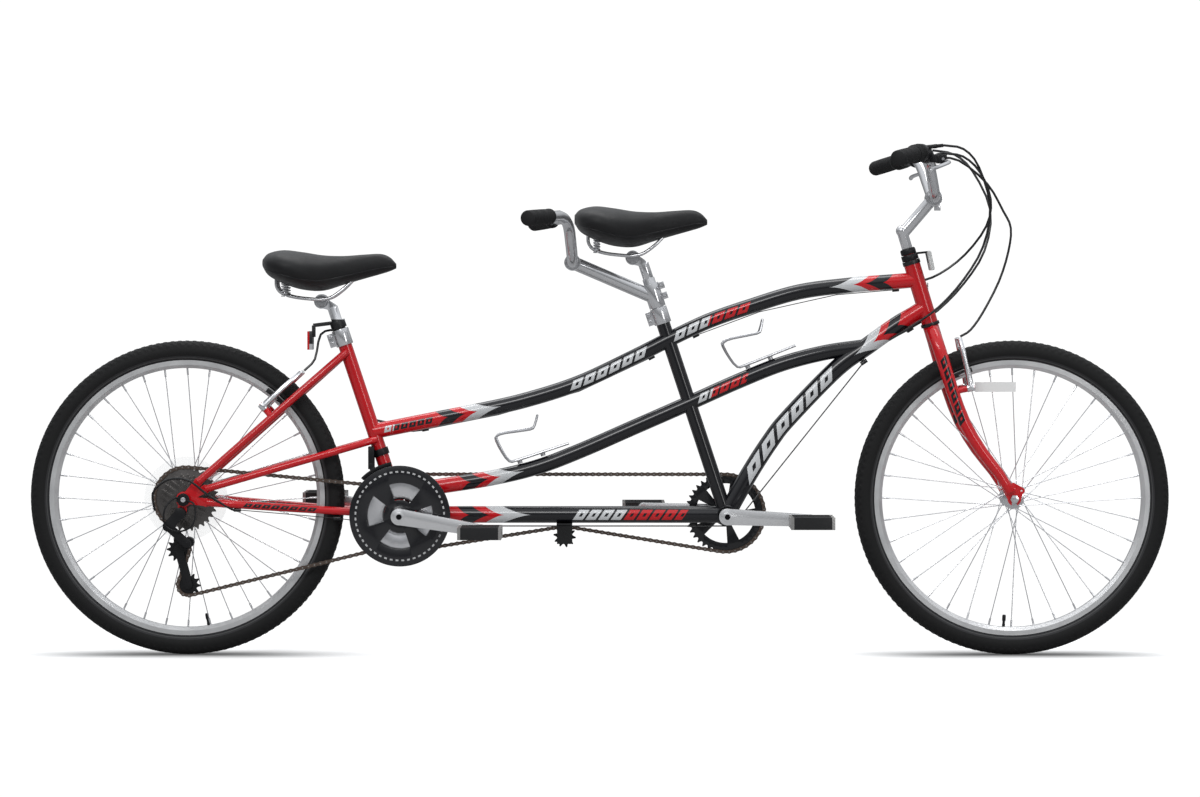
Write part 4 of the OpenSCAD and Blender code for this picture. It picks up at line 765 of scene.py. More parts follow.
def piece(name: str, skin: Skin, finish: bpy.types.Material, body: str, *nodes: str, slot: str | None = None,
          smooth: float = 40.0) -> bpy.types.Object:
    """Turns a skin into an object of the bicycle.

    Args:
        name: the piece's name.
        skin: its surface.
        finish: its material.
        body: the moving body it rides on.
        nodes: the frame's nodes it stands for.
        slot: a material slot named in the record; not used.
        smooth: edges sharper than this many degrees stay crisp.

    Returns:
        The object, its place in its mesh, its poles and seams merged and its faces outwards.
    """
    mesh = bpy.data.meshes.new(name)
    mesh.from_pydata(skin.points.tolist(), [], skin.faces.tolist())
    layer = mesh.uv_layers.new(name="UVMap")
    corner = np.empty(len(mesh.loops), np.int32)
    mesh.loops.foreach_get("vertex_index", corner)
    layer.data.foreach_set("uv", skin.uv[corner].astype(np.float32).ravel())
    work = bmesh.new()
    work.from_mesh(mesh)
    bmesh.ops.remove_doubles(work, verts=work.verts, dist=MERGE)
    bmesh.ops.dissolve_degenerate(work, edges=work.edges, dist=MERGE)
    bmesh.ops.recalc_face_normals(work, faces=work.faces)
    limit = math.radians(smooth)
    for edge in work.edges:
        edge.smooth = len(edge.link_faces) == 2 and edge.calc_face_angle(0.0) < limit
    for face in work.faces:
        face.smooth = True
    work.to_mesh(mesh)
    work.free()
    made = bpy.data.objects.new(name, mesh)
    bpy.context.scene.collection.objects.link(made)
    mesh.materials.append(finish)
    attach(made, body)
    if nodes:
        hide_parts(*nodes)
    log.info("%s: %d faces on %s", name, len(mesh.polygons), body)
    return made


def dress(node: str, finish: bpy.types.Material, bevel: float = 0.0) -> None:
    """Gives a carried-over node its finish, smooth curves with crisp edges, and a worn edge if asked."""
    made = frame["nodes"][node]
    made.data.materials.clear()
    made.data.materials.append(finish)
    made.data.polygons.foreach_set("material_index", np.zeros(len(made.data.polygons), np.int32))
    made.data.polygons.foreach_set("use_smooth", np.ones(len(made.data.polygons), bool))
    weld = made.modifiers.new("weld", "WELD")
    weld.merge_threshold = WELD_GAP
    if bevel:
        edge = made.modifiers.new("edge", "BEVEL")
        edge.width = bevel
        edge.segments = 2
        edge.limit_method = "ANGLE"
        edge.angle_limit = math.radians(WORN_EDGE_DEGREES)
    split = made.modifiers.new("split", "EDGE_SPLIT")
    split.split_angle = math.radians(CREASE_DEGREES)


class Layout:
    """The driving points, read from the frame's joints."""

    def __init__(self) -> None:
        """Reads the joints."""
        joints = {j["name"]: j for j in frame["record"]["behaviour"]["joints"]}

        def at(name: str) -> np.ndarray:
            """Where a joint turns."""
            return np.array(joints[name]["pos_m"], float) * vec(1, 0, 1)

        self.rear_axle, self.front_axle = at("rear_wheel_spin"), at("front_wheel_spin")
        self.rear_bb, self.front_bb = at("rear_crank_spin"), at("front_crank_spin")
        self.head_low = at("steering")
        self.up_steer = unit(np.array(joints["steering"]["axis"], float))
        self.fwd_steer = vec(self.up_steer[2], 0, -self.up_steer[0])
        self.up_seat = unit(np.array(joints["captain_seat_height"]["axis"], float))
        self.bar, self.stoker_bar = at("captain_bar_tilt"), at("stoker_bar_tilt")
        self.clamp, self.stoker_clamp = at("captain_saddle_tilt"), at("stoker_saddle_tilt")
        self.idler = at("idler_spin")
        self.jockey_up, self.jockey_low = at("upper_jockey_spin"), at("lower_jockey_spin")
        self.head_top = self.head_low + HEAD_TUBE * self.up_steer
        self.stoker_top = self.rear_bb + STOKER_TUBE * self.up_seat


def mm(*numbers) -> np.ndarray:
    """Millimetres as metres."""
    return np.array(numbers, float) * 0.001


# ---- sub-assemblies -------------------------------------------------------

@dataclass
class FrameTubes:
    """The curved main tubes of the frame, and the carried-over tubes they meet.

    Attributes:
        at: the driving points.
        paints: the shared finishes.
    """

    at: Layout
    paints: Paints
    top_r: float = 0.0159
    down_r: float = 0.0185
    boom_r: float = 0.01745

    def bow(self, a: np.ndarray, b: np.ndarray, heights: list[tuple[float, float]]) -> np.ndarray:
        """A tube's centre line from a to b, through points that stand above the straight line between them.

        Args:
            a: its start.
            b: its end.
            heights: pairs of share of the way and height above the straight line in millimetres.
        """
        d = b - a
        up = unit(vec(-d[2], 0, d[0]))
        inner = [a + (b - a) * t + up * h * 0.001 for t, h in heights]
        return resampled(spline(np.array([a, *inner, b]), 12), 90)

    def build(self) -> None:
        """Builds the six painted tubes and dresses the straight ones."""
        at = self.at
        cap_up, cap_low = at.front_bb + 0.381 * at.up_seat, at.front_bb + 0.243 * at.up_seat
        stk_up, stk_low = at.rear_bb + 0.181 * at.up_seat, at.rear_bb + 0.047 * at.up_seat
        head_up, head_low = at.head_low + 0.093 * at.up_steer, at.head_low + 0.034 * at.up_steer
        down_heights = [(.16, 24), (.29, 39), (.39, 45), (.63, 44), (.77, 29.5), (.88, 17)]
        d = head_low - at.front_bb
        meet = at.front_bb + 0.76 * d + 0.031 * unit(vec(-d[2], 0, d[0]))
        top_front = self.bow(cap_up, head_up, [(.17, 18), (.34, 27), (.54, 32.5), (.74, 21.5), (.9, 8)])
        top_rear = self.bow(stk_up, cap_up, [(.17, -11.5), (.34, -23.5), (.5, -31.5), (.68, -30.5), (.87, -14)])
        down = self.bow(at.front_bb, head_low, down_heights)
        low_front = self.bow(cap_low, meet, [(.29, 12.4), (.54, 19), (.78, 14)])
        low_rear = self.bow(stk_low, cap_low, [(.16, -15.5), (.32, -29.5), (.47, -35), (.62, -28.5), (.8, -15)])
        boom = resampled(np.array([at.rear_bb, at.front_bb]), 60)
        runs = {
            "top_tube_front": (top_front, "top_tubes", Flash("paint_top_front", 0.6067, -1, (
                Dashes(0.156, 0.311, change=0.45),))),
            "top_tube_rear": (top_rear, "top_tubes", Flash("paint_top_rear", -0.3359, 1, (
                Dashes(-0.0568, 0.1002, second=Shade.SILVER),
                Dashes(-0.4434, -0.345, second=Shade.BLACK, change=0.2, tall=0.4, pitch=0.017, slant=0.006)))),
            "lateral_tube_front": (low_front, "lateral_tubes", Flash("paint_lateral_front", 2.0, -1, (
                Dashes(0.2057, 0.3049, change=0.27, tall=0.5, pitch=0.022),), black=True)),
            "lateral_tube_rear": (low_rear, "lateral_tubes", Flash("paint_lateral_rear", -0.2883, 1)),
        }
        for name, (line, node, paint) in runs.items():
            piece(name, sweep(line, self.top_r, 40), paint.build(), "frame", node, slot="black_paint")
        taper = np.interp(lengths(down)[-1] - lengths(down), [0, 0.03, 0.06], [0.0165, 0.0168, self.down_r])
        piece("down_tube_painted", sweep(down, taper, 44),
              Flash("paint_down", 0.6315, -1, (Dashes(0.307, 0.485, second=Shade.SILVER, tall=0.62, pitch=0.0297),),
                    scale=0.8).build(), "frame", "down_tube", slot="black_paint")
        boom_paint = Flash("paint_boom", -0.2945, 1, (Dashes(-0.0486, 0.1767, change=0.44, tall=0.6),), scale=1.15)
        piece("boom_tube_painted", sweep(boom, self.boom_r, 44), boom_paint.build(), "frame", "boom_tube",
              slot="black_paint")
        for name, centre, paint in (("rear_shell", at.rear_bb, self.paints.red),
                                    ("front_shell", at.front_bb, self.paints.black)):
            rows = mm([15.8, -34], [20.0, -34], [20.5, -33.5], [20.5, 33.5], [20.0, 34], [15.8, 34], [15.8, -34])
            piece(name, revolve(rows, centre, vec(0, 1, 0), 56), paint, "frame", "boom_tube", slot="black_paint")
        dress("head_tube", self.paints.red)
        dress("captain_seat_tube", self.paints.black)
        dress("stoker_seat_tube", self.paints.red)
        dress("seat_clamps", self.paints.polished, 0.0004)
        dress("bottle_cages", self.paints.alloy)
        badge = self.at.head_low + 0.07 * at.up_steer + 0.0172 * at.fwd_steer
        piece("head_badge", rounded_box(badge - vec(.0012, .006, .011), badge + vec(.0006, .006, .011), .0008),
              self.paints.polished, "frame")


@dataclass
class RearTriangle:
    """Stays, dropouts and the small fittings at the back and along the frame."""

    at: Layout
    paints: Paints

    def build(self) -> None:
        """Dresses the carried-over nodes."""
        dress("seat_stays", self.paints.red)
        dress("chain_stays", StayPaint("paint_chain_stays").build(), 0.0004)
        axle = self.at.rear_axle
        brake = vec(*REAR_BRAKE)
        near = (axle - vec(.0115, 1, .0115), axle + vec(.0115, 1, .0115))
        studs = (brake - mm(45, 70, 45), brake + mm(45, 70, 45))
        dress("frame_fittings", Zoned("fitting_finish", Shade.PLASTIC, rough=0.35, zones=(
            Zone(tuple(near[0]), tuple(near[1]), Shade.CHROME, True, 0.25),
            Zone(tuple(studs[0]), tuple(studs[1]), Shade.RED, False, 0.2))).build(), 0.0003)
        dress("derailleur_mounts", self.paints.plastic, 0.0004)
        yoke_low, yoke_high = brake + mm(-90, -26, 45), brake + mm(-30, 26, 95)
        dress("frame_cables", Zoned("cable_finish", Shade.PLASTIC, rough=0.3, zones=(
            Zone(tuple(yoke_low), tuple(yoke_high), Shade.STEEL, True, 0.3),)).build())


@dataclass(frozen=True)
class StayPaint:
    """Gloss red with a run of black dashes on the outside of the chain stays."""

    name: str

    def build(self) -> bpy.types.Material:
        """The material. The dashes follow the straight line of the stay in the side plane."""
        g = Graph(self.name)
        x, _, z = g.split(g.place())
        line = g.math("ADD", g.math("MULTIPLY", g.math("ADD", x, 0.7376), -0.0735), 0.3136)
        height = g.math("DIVIDE", g.math("SUBTRACT", z, line), 0.0083)
        run = Dashes(-0.728, -0.582, Shade.BLACK, Shade.BLACK, tall=0.5, pitch=0.0185, slant=0.007)
        lacquer(g, run.over(g, x, height, Shade.RED.value))
        return g.material


@dataclass(frozen=True)
class ForkPaint:
    """Gloss red with a run of black dashes down each fork leg."""

    name: str
    at: Layout

    def build(self) -> bpy.types.Material:
        """The material. The dashes follow the steering axis, their height measured square to it."""
        g = Graph(self.name)
        x, _, z = g.split(g.place())
        up, fwd, low = self.at.up_steer, self.at.fwd_steer, self.at.head_low

        def along(axis: np.ndarray):
            """Distance from the lower cup along an axis of the side plane."""
            a = g.math("MULTIPLY", g.math("SUBTRACT", x, float(low[0])), float(axis[0]))
            return g.math("ADD", a, g.math("MULTIPLY", g.math("SUBTRACT", z, float(low[2])), float(axis[2])))

        height = g.math("DIVIDE", along(fwd), 0.0135)
        run = Dashes(-0.215, -0.070, Shade.BLACK, Shade.BLACK, tall=0.5, pitch=0.0242, slant=0.01)
        lacquer(g, run.over(g, along(up), height, Shade.RED.value))
        return g.material


@dataclass
class SteeredFork:
    """The fork and what is fixed on it."""

    at: Layout
    paints: Paints

    def build(self) -> None:
        """Dresses the fork and builds the reflector on its bracket."""
        at = self.at
        dress("fork", ForkPaint("paint_fork", at).build(), 0.0003)
        dress("front_axle", self.paints.polished, 0.0004)
        dress("front_brake_cable", self.paints.jacket)
        foot = at.head_top
        rows = mm([12.75, 8.6], [17, 8.6], [17.5, 9.2], [17.5, 20.4], [17, 21], [12.75, 21], [12.75, 8.6])
        cone = mm([11.6, 22], [15.4, 22], [16, 22.8], [16, 31], [14.4, 34], [11.6, 34], [11.6, 22])
        p = foot + 0.020 * at.up_steer
        arm = tilted(rounded_box(p + mm(8, -7, 1), p + mm(42, 7, 5.5), 0.0015), p + mm(8, 0, 0), 6)
        back = tilted(rounded_box(p + mm(38, -8, -16), p + mm(43.8, 8, 6), 0.0012), p + mm(38, 0, -16), 12)
        bracket = joined([revolve(rows, foot, at.up_steer, 48), revolve(cone, foot, at.up_steer, 48), arm, back])
        piece("reflector_bracket", bracket, self.paints.plastic, "fork", "front_reflector", slot="black_plastic")
        lens = tilted(rounded_box(p + mm(42.5, -25, -32), p + mm(51.5, 25, 8), 0.0025, 17), p + mm(42.5, 0, -32), 12)
        piece("reflector_lens_front", lens, self.paints.white_lens, "fork", "front_reflector", slot="clear_plastic")


@dataclass
class Wheel:
    """A wheel: knobbly tyre, rim, spokes, hub and valve.

    Attributes:
        paints: the shared finishes.
        end: front or rear, as its nodes are named.
        axle: its centre.
        valve_angle: where the valve is, in degrees from +X towards +Z.
    """

    paints: Paints
    end: str
    axle: np.ndarray
    valve_angle: float
    mid_r: float = 0.303
    section: float = 0.022
    knob: float = 0.0012
    knobs_round: int = 132
    knob_row: float = 0.30

    @property
    def body(self) -> str:
        """The body the wheel's pieces ride on."""
        return f"{self.end}_wheel"

    def tyre(self, around: int = 1440, across: int = 44) -> Skin:
        """The tyre.

        Formula: a circle of the section's radius swept round the axle. Its outermost third carries knobs:
        the product of a square-topped wave round the wheel and one across the tread, each neighbour row
        half a step on.
        """
        a = np.linspace(0, 2 * math.pi, around, endpoint=False)[:, None]
        p = np.linspace(0, 2 * math.pi, across, endpoint=False)[None, :] + 1e-3
        lean = (p + math.pi) % (2 * math.pi) - math.pi
        row = np.round(lean / self.knob_row)
        wave = np.cos(self.knobs_round * a + math.pi * (row % 2))
        lateral = np.cos((lean - self.knob_row * row) / self.knob_row * math.pi)
        knobs = np.clip(wave * 2.2 + 0.75, 0, 1) * np.clip(lateral * 2.6, 0, 1)
        tread = np.clip((1.06 - np.abs(lean)) / 0.06, 0, 1)
        r = self.section - self.knob * (1 - knobs * tread)
        radial = self.mid_r + r * np.cos(p)
        points = np.stack([radial * np.cos(a), r * np.sin(p), radial * np.sin(a)], -1) + self.axle
        closed = np.concatenate([points, points[:1]])
        return grid(closed, wrap=True)

    def valve(self) -> Skin:
        """The valve stem and its cap, pointing at the axle."""
        way = turned(self.valve_angle)
        rim, tip = self.axle + 0.2690 * way, self.axle + 0.2430 * way
        outline = [(0, .0032), (.25, .0032), (.26, .0028), (.5, .0028), (.52, .0038), (.9, .0038), (1, .003)]
        return barrel(rim, tip, outline, 20)

    def build(self) -> None:
        """Builds the tyre and the valve, and dresses the rest."""
        centre = (float(self.axle[0]), float(self.axle[2]))
        piece(f"{self.end}_tyre_treaded", self.tyre(), Tread(f"{self.end}_tread", 0.2935, centre).build(), self.body,
              f"{self.end}_tyre", slot="tyre", smooth=60)
        piece(f"{self.end}_valve", self.valve(), self.paints.plastic, self.body, slot="tyre")
        dress(f"{self.end}_rim", BrakeTrack(f"{self.end}_rim_finish", centre).build())


@dataclass
class FrontWheel(Wheel):
    """The front wheel, with a reflector between two spokes."""

    def build(self) -> None:
        """Adds the hub and the reflector's look."""
        super().build()
        low, high = self.axle + mm(-78, -11.5, 218.5), self.axle + mm(8, -4.5, 239.5)
        dress("front_spokes", Zoned("front_spoke_finish", Shade.CHROME, True, 0.22, (
            Zone(tuple(low), tuple(high), Shade.WHITE, False, 0.15),)).build())
        dress("front_hub", self.paints.polished, 0.0004)


@dataclass
class RearWheel(Wheel):
    """The rear wheel, with a clear disc behind the cogs."""

    def hub(self) -> Skin:
        """The hub: one turned outline of barrel and two flanges, hollow for the axle."""
        rows = mm([5.1, -63], [12, -63], [12.6, -62], [14.8, -61], [14.8, -24.5], [21, -24.5], [22, -23.8], [22, -22.2],
                  [21, -21.5], [16, -20], [14.2, -12], [14.2, 24], [16, 33], [21, 34.5], [22, 35.2], [22, 36.8],
                  [21, 37.5], [13, 38], [12, 40], [12, 62.5], [11, 63.5], [5.1, 63.5], [5.1, -63])
        return revolve(rows, self.axle, vec(0, 1, 0), 72)

    def build(self) -> None:
        """Adds the hub, the disc and the spokes' look."""
        super().build()
        dress("rear_spokes", self.paints.polished)
        piece("rear_hub_turned", self.hub(), self.paints.polished, self.body, "rear_hub", slot="alloy")
        rows = mm([15.2, -32.3], [84, -32.3], [86, -31.9], [86, -31.3], [84, -31.0], [60, -31.2], [15.2, -31.0],
                  [15.2, -32.3])
        piece("spoke_disc", revolve(rows, self.axle, vec(0, 1, 0), 96), self.paints.clear, self.body, "rear_hub",
              slot="clear_plastic")
        dress("freewheel", Metal("cog_steel", Shade.COG, 0.30, 0.12).build(), 0.0002)


@dataclass(frozen=True)
class Pulley:
    """A wheel that a chain runs round: its centre, teeth, and +1 for anticlockwise seen along -Y."""

    centre: np.ndarray
    teeth: int
    turn: int
    pitch: float = 0.0127

    @property
    def radius(self) -> float:
        """The radius at which a chain wraps it."""
        return self.teeth * self.pitch / (2 * math.pi)


@dataclass
class Chain:
    """A closed roller chain with real links.

    Attributes:
        name: the piece's name.
        node: the node it stands for.
        pulleys: what it runs round, in order.
        y: its place across the bicycle.
        links: pitches in the loop.
    """

    name: str
    node: str
    pulleys: list[Pulley]
    y: float
    links: int
    paints: Paints

    def leaving(self, a: Pulley, b: Pulley) -> float:
        """Direction in degrees of the common tangent from a to b.

        Formula: the centre line's direction less the arc cosine of the difference of the signed radii
        over the centres' distance.
        """
        d = (b.centre - a.centre)[[0, 2]]
        k = a.radius * a.turn - b.radius * b.turn
        return math.degrees(math.atan2(d[1], d[0]) - math.acos(k / np.linalg.norm(d)))

    def loop(self) -> np.ndarray:
        """The pitch line as closely spaced [x, z] points: an arc round each pulley, then the straight run."""
        points, n = [], len(self.pulleys)
        for i, pulley in enumerate(self.pulleys):
            before, after = self.pulleys[i - 1], self.pulleys[(i + 1) % n]
            m_in, m_out = self.leaving(before, pulley), self.leaving(pulley, after)
            span = (pulley.turn * (m_out - m_in)) % 360
            angles = np.radians(m_in + (180 if pulley.turn < 0 else 0) + pulley.turn * np.linspace(0, span, 60))
            points.append(pulley.centre[[0, 2]] + pulley.radius * np.stack([np.cos(angles), np.sin(angles)], 1))
        loop = np.vstack(points)
        return np.vstack([loop, loop[:1]])

    def pins(self) -> np.ndarray:
        """The [x, z] places of the pins, evenly spaced round the loop."""
        return resampled(self.loop(), self.links + 1)[:-1]

    @staticmethod
    def plate(a: np.ndarray, b: np.ndarray, y0: float, y1: float, outer: bool) -> Skin:
        """A figure-of-eight side plate from pin a to pin b, between y0 and y1."""
        d = unit(b - a)
        n = np.array([-d[1], d[0]])
        half = 0.0043 if outer else 0.0040
        ends = [(math.pi / 2, 3 * math.pi / 2, a), (-math.pi / 2, math.pi / 2, b)]
        ring = [c + half * (math.cos(t) * d + math.sin(t) * n) for t0, t1, c in ends for t in np.linspace(t0, t1, 6)]
        middle = (a + b) / 2
        waist = [middle - 0.0029 * n, middle + 0.0029 * n]
        return slab(np.array(ring[:6] + [waist[0]] + ring[6:] + [waist[1]]), y0, y1)

    def build(self) -> None:
        """Builds the plates as one piece and the rollers as another."""
        p = self.pins()
        roller = mm([0, -3.4], [1.6, -3.4], [1.6, -1.3], [3.6, -1.3], [3.6, 1.3], [1.6, 1.3], [1.6, 3.4], [0, 3.4])
        plates, rollers = [], []
        for i in range(self.links):
            a, b, outer = p[i], p[(i + 1) % self.links], i % 2 == 0
            inner_y, outer_y = (0.0024, 0.0033) if outer else (0.0014, 0.0023)
            for side in (-1, 1):
                low, high = sorted((side * inner_y, side * outer_y))
                plates.append(self.plate(a, b, self.y + low, self.y + high, outer))
            centre = vec(a[0], self.y, a[1])
            rollers.append(revolve(roller, centre, vec(0, 1, 0), 10))
        piece(f"{self.name}_plates", joined(plates), self.paints.links, "frame", self.node, slot="chain")
        piece(f"{self.name}_rollers", joined(rollers), self.paints.rollers, "frame", self.node, slot="chain")


@dataclass(frozen=True)
class RingFinish:
    """The chainrings: black outer ring and guard, bright inner rings, a ring of small slots near the guard's edge."""

    name: str
    centre: tuple[float, float]

    def build(self) -> bpy.types.Material:
        """The material. Slots repeat 48 times with the angle round the spindle, on one narrow band of radius."""
        g = Graph(self.name)
        x, y, z = g.split(g.place())
        dx, dz = g.math("SUBTRACT", x, self.centre[0]), g.math("SUBTRACT", z, self.centre[1])
        r = g.from_axle(self.centre)
        turn = g.math("FRACT", g.math("MULTIPLY", g.math("ARCTAN2", dz, dx), 48 / (2 * math.pi)))
        slot = g.math("MULTIPLY", g.math("LESS_THAN", g.math("ABSOLUTE", g.math("SUBTRACT", turn, 0.5)), 0.24),
                      g.math("LESS_THAN", g.math("ABSOLUTE", g.math("SUBTRACT", r, 0.0912)), 0.0017))
        slot = g.math("MULTIPLY", slot, g.math("LESS_THAN", y, -0.050))
        bright = g.math("MULTIPLY", g.math("GREATER_THAN", y, -0.0482), g.math("LESS_THAN", y, -0.030))
        colour = g.mix(slot, g.mix(bright, Shade.BLACK.value, Shade.CHROME.value), (0.5, 0.5, 0.5, 1))
        grain = g.noise(260, 3)
        g.set(Base_Color=colour, Metallic=bright, Roughness=g.blend(grain, 0.16, 0.30), Coat_Weight=0.5,
              Coat_Roughness=0.06)
        g.bump(grain, 0.05, 0.0002)
        return g.material


@dataclass(frozen=True)
class CrankFinish:
    """Polished crank arms with a dark bolt in each end of the spindle."""

    name: str
    centre: tuple[float, float]
    bolt_r: float = 0.0058
    arm_face: float = 0.0885

    def build(self) -> bpy.types.Material:
        """The material. The bolts are where the spindle's middle stands past the arms."""
        g = Graph(self.name)
        _, y, _ = g.split(g.place())
        bolt = g.math("MULTIPLY", g.math("LESS_THAN", g.from_axle(self.centre), self.bolt_r),
                      g.math("GREATER_THAN", g.math("ABSOLUTE", y), self.arm_face))
        marks = g.noise(420, 4, (1, 6, 6))
        silver = g.mix(marks, (0.66, 0.66, 0.67, 1), (0.86, 0.86, 0.87, 1))
        g.set(Base_Color=g.mix(bolt, silver, Shade.PLASTIC.value), Metallic=0.78, Roughness=g.blend(marks, 0.18, 0.30))
        g.bump(marks, 0.05, 0.0002)
        return g.material


@dataclass
class Drivetrain:
    """Cranks, rings, pedals, derailleurs and both chains."""

    at: Layout
    paints: Paints

    def build(self) -> None:
        """Builds the chains and dresses the rest."""
        at, paints = self.at, self.paints
        drive = [Pulley(at.rear_bb, 28, -1), Pulley(at.jockey_low, 11, -1), Pulley(at.jockey_up, 11, 1),
                 Pulley(at.rear_axle, 32, -1)]
        timing = [Pulley(at.rear_bb, 40, -1), Pulley(at.front_bb, 40, -1), Pulley(at.idler, 10, 1)]
        Chain("drive_chain_real", "drive_chain", drive, -0.037, 112, paints).build()
        Chain("timing_chain_real", "timing_chain", timing, 0.046, 146, paints).build()
        dress("chainrings", RingFinish("ring_finish", (float(at.rear_bb[0]), float(at.rear_bb[2]))).build(), 0.0002)
        dress("front_timing_ring", paints.black, 0.0002)
        for node, bb in (("rear_cranks", at.rear_bb), ("front_cranks", at.front_bb)):
            dress(node, CrankFinish(f"{node}_finish", (float(bb[0]), float(bb[2]))).build(), 0.0012)
        for end in ("rear", "front"):
            for side in ("right", "left"):
                self.pedal(f"pedal_{end}_{side}")
        for node in ("chain_idler", "upper_jockey_wheel", "lower_jockey_wheel", "rear_derailleur_knuckle",
                     "rear_derailleur_cage", "front_derailleur_cage"):
            dress(node, paints.plastic, 0.0003)

    def pedal(self, node: str) -> None:
        """Dresses a pedal: black body, grey cage at its front and back."""
        low, high = (np.array(c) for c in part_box(node))
        front, back = vec(high[0] - 0.0062, -1, 0), vec(low[0] + 0.0062, 1, 1)
        dress(node, Zoned(f"{node}_finish", Shade.PLASTIC, rough=0.4, zones=(
            Zone(tuple(front), (1.0, 1.0, 1.0), Shade.STEEL, True, 0.35),
            Zone((-1.0, -1.0, 0.0), tuple(back), Shade.STEEL, True, 0.35))).build(), 0.0008)


@dataclass
class Bar:
    """A swept-back riser handlebar with a ribbed grip on each end.

    Attributes:
        at: the driving points; not used.
        paints: the shared finishes.
        name: captain or stoker.
        centre: the middle of its clamp.
        tilt: how far it is turned, noses up, in degrees.
        body: the body it rides on.
    """

    at: Layout
    paints: Paints
    name: str
    centre: np.ndarray
    tilt: float
    body: str
    half: float = 0.305
    grip_len: float = 0.098

    def half_line(self) -> np.ndarray:
        """The right half's centre line, from the middle of the clamp to the tip."""
        shape = mm([0, -23, 0], [0, -31, .8], [-1, -45, 9], [-5, -70, 36], [-11, -98, 70], [-19, -128, 86],
                   [-30, -158.6, 91.5])
        curve = np.vstack([mm([0, 0, 0], [0, -12, 0]), spline(shape, 6), mm([-89, -305, 81])])
        return self.centre + tilt_about(curve, np.zeros(3), self.tilt)

    def on(self, y: float, side: int) -> np.ndarray:
        """The bar's centre at the distance y from the middle plane, on the side +1 left or -1 right."""
        line = self.half_line()
        return vec(np.interp(y, -line[:, 1], line[:, 0]), side * y, np.interp(y, -line[:, 1], line[:, 2]))

    def way(self, y: float, side: int) -> np.ndarray:
        """The bar's direction there, outwards."""
        return unit(self.on(y + 0.01, side) - self.on(y, side))

    def grip(self, side: int) -> Skin:
        """A grip: flange, ribs that swell and sink along it, and a closed end."""
        end, start = self.on(self.half, side), self.on(self.half - self.grip_len, side)
        end = end + 0.005 * unit(end - start)
        t = np.linspace(0.07, 0.97, 90)
        ribs = 0.0147 + 0.0009 * np.clip(np.sin(t * 2 * math.pi * 17) * 2, -0.6, 1) + 0.0004 * np.sin(t * math.pi)
        outline = [(0, .0145), (.005, .0162), (.045, .0162), (.06, .0148), *zip(t, ribs), (.985, .0150), (1, .0128)]
        return barrel(start, end, outline, 40)

    def build(self) -> None:
        """Builds the bar and its grips."""
        right = self.half_line()
        both = np.vstack([mirrored(right)[::-1], right[1:]])
        node = f"{self.name}_handlebar"
        piece(f"{node}_tube", sweep(both, 0.0111, 32), self.paints.chrome, self.body, node, slot="chrome")
        for side, label in ((-1, "right"), (1, "left")):
            piece(f"{self.name}_grip_{label}", self.grip(side), self.paints.grip, self.body, node, slot="black_plastic")


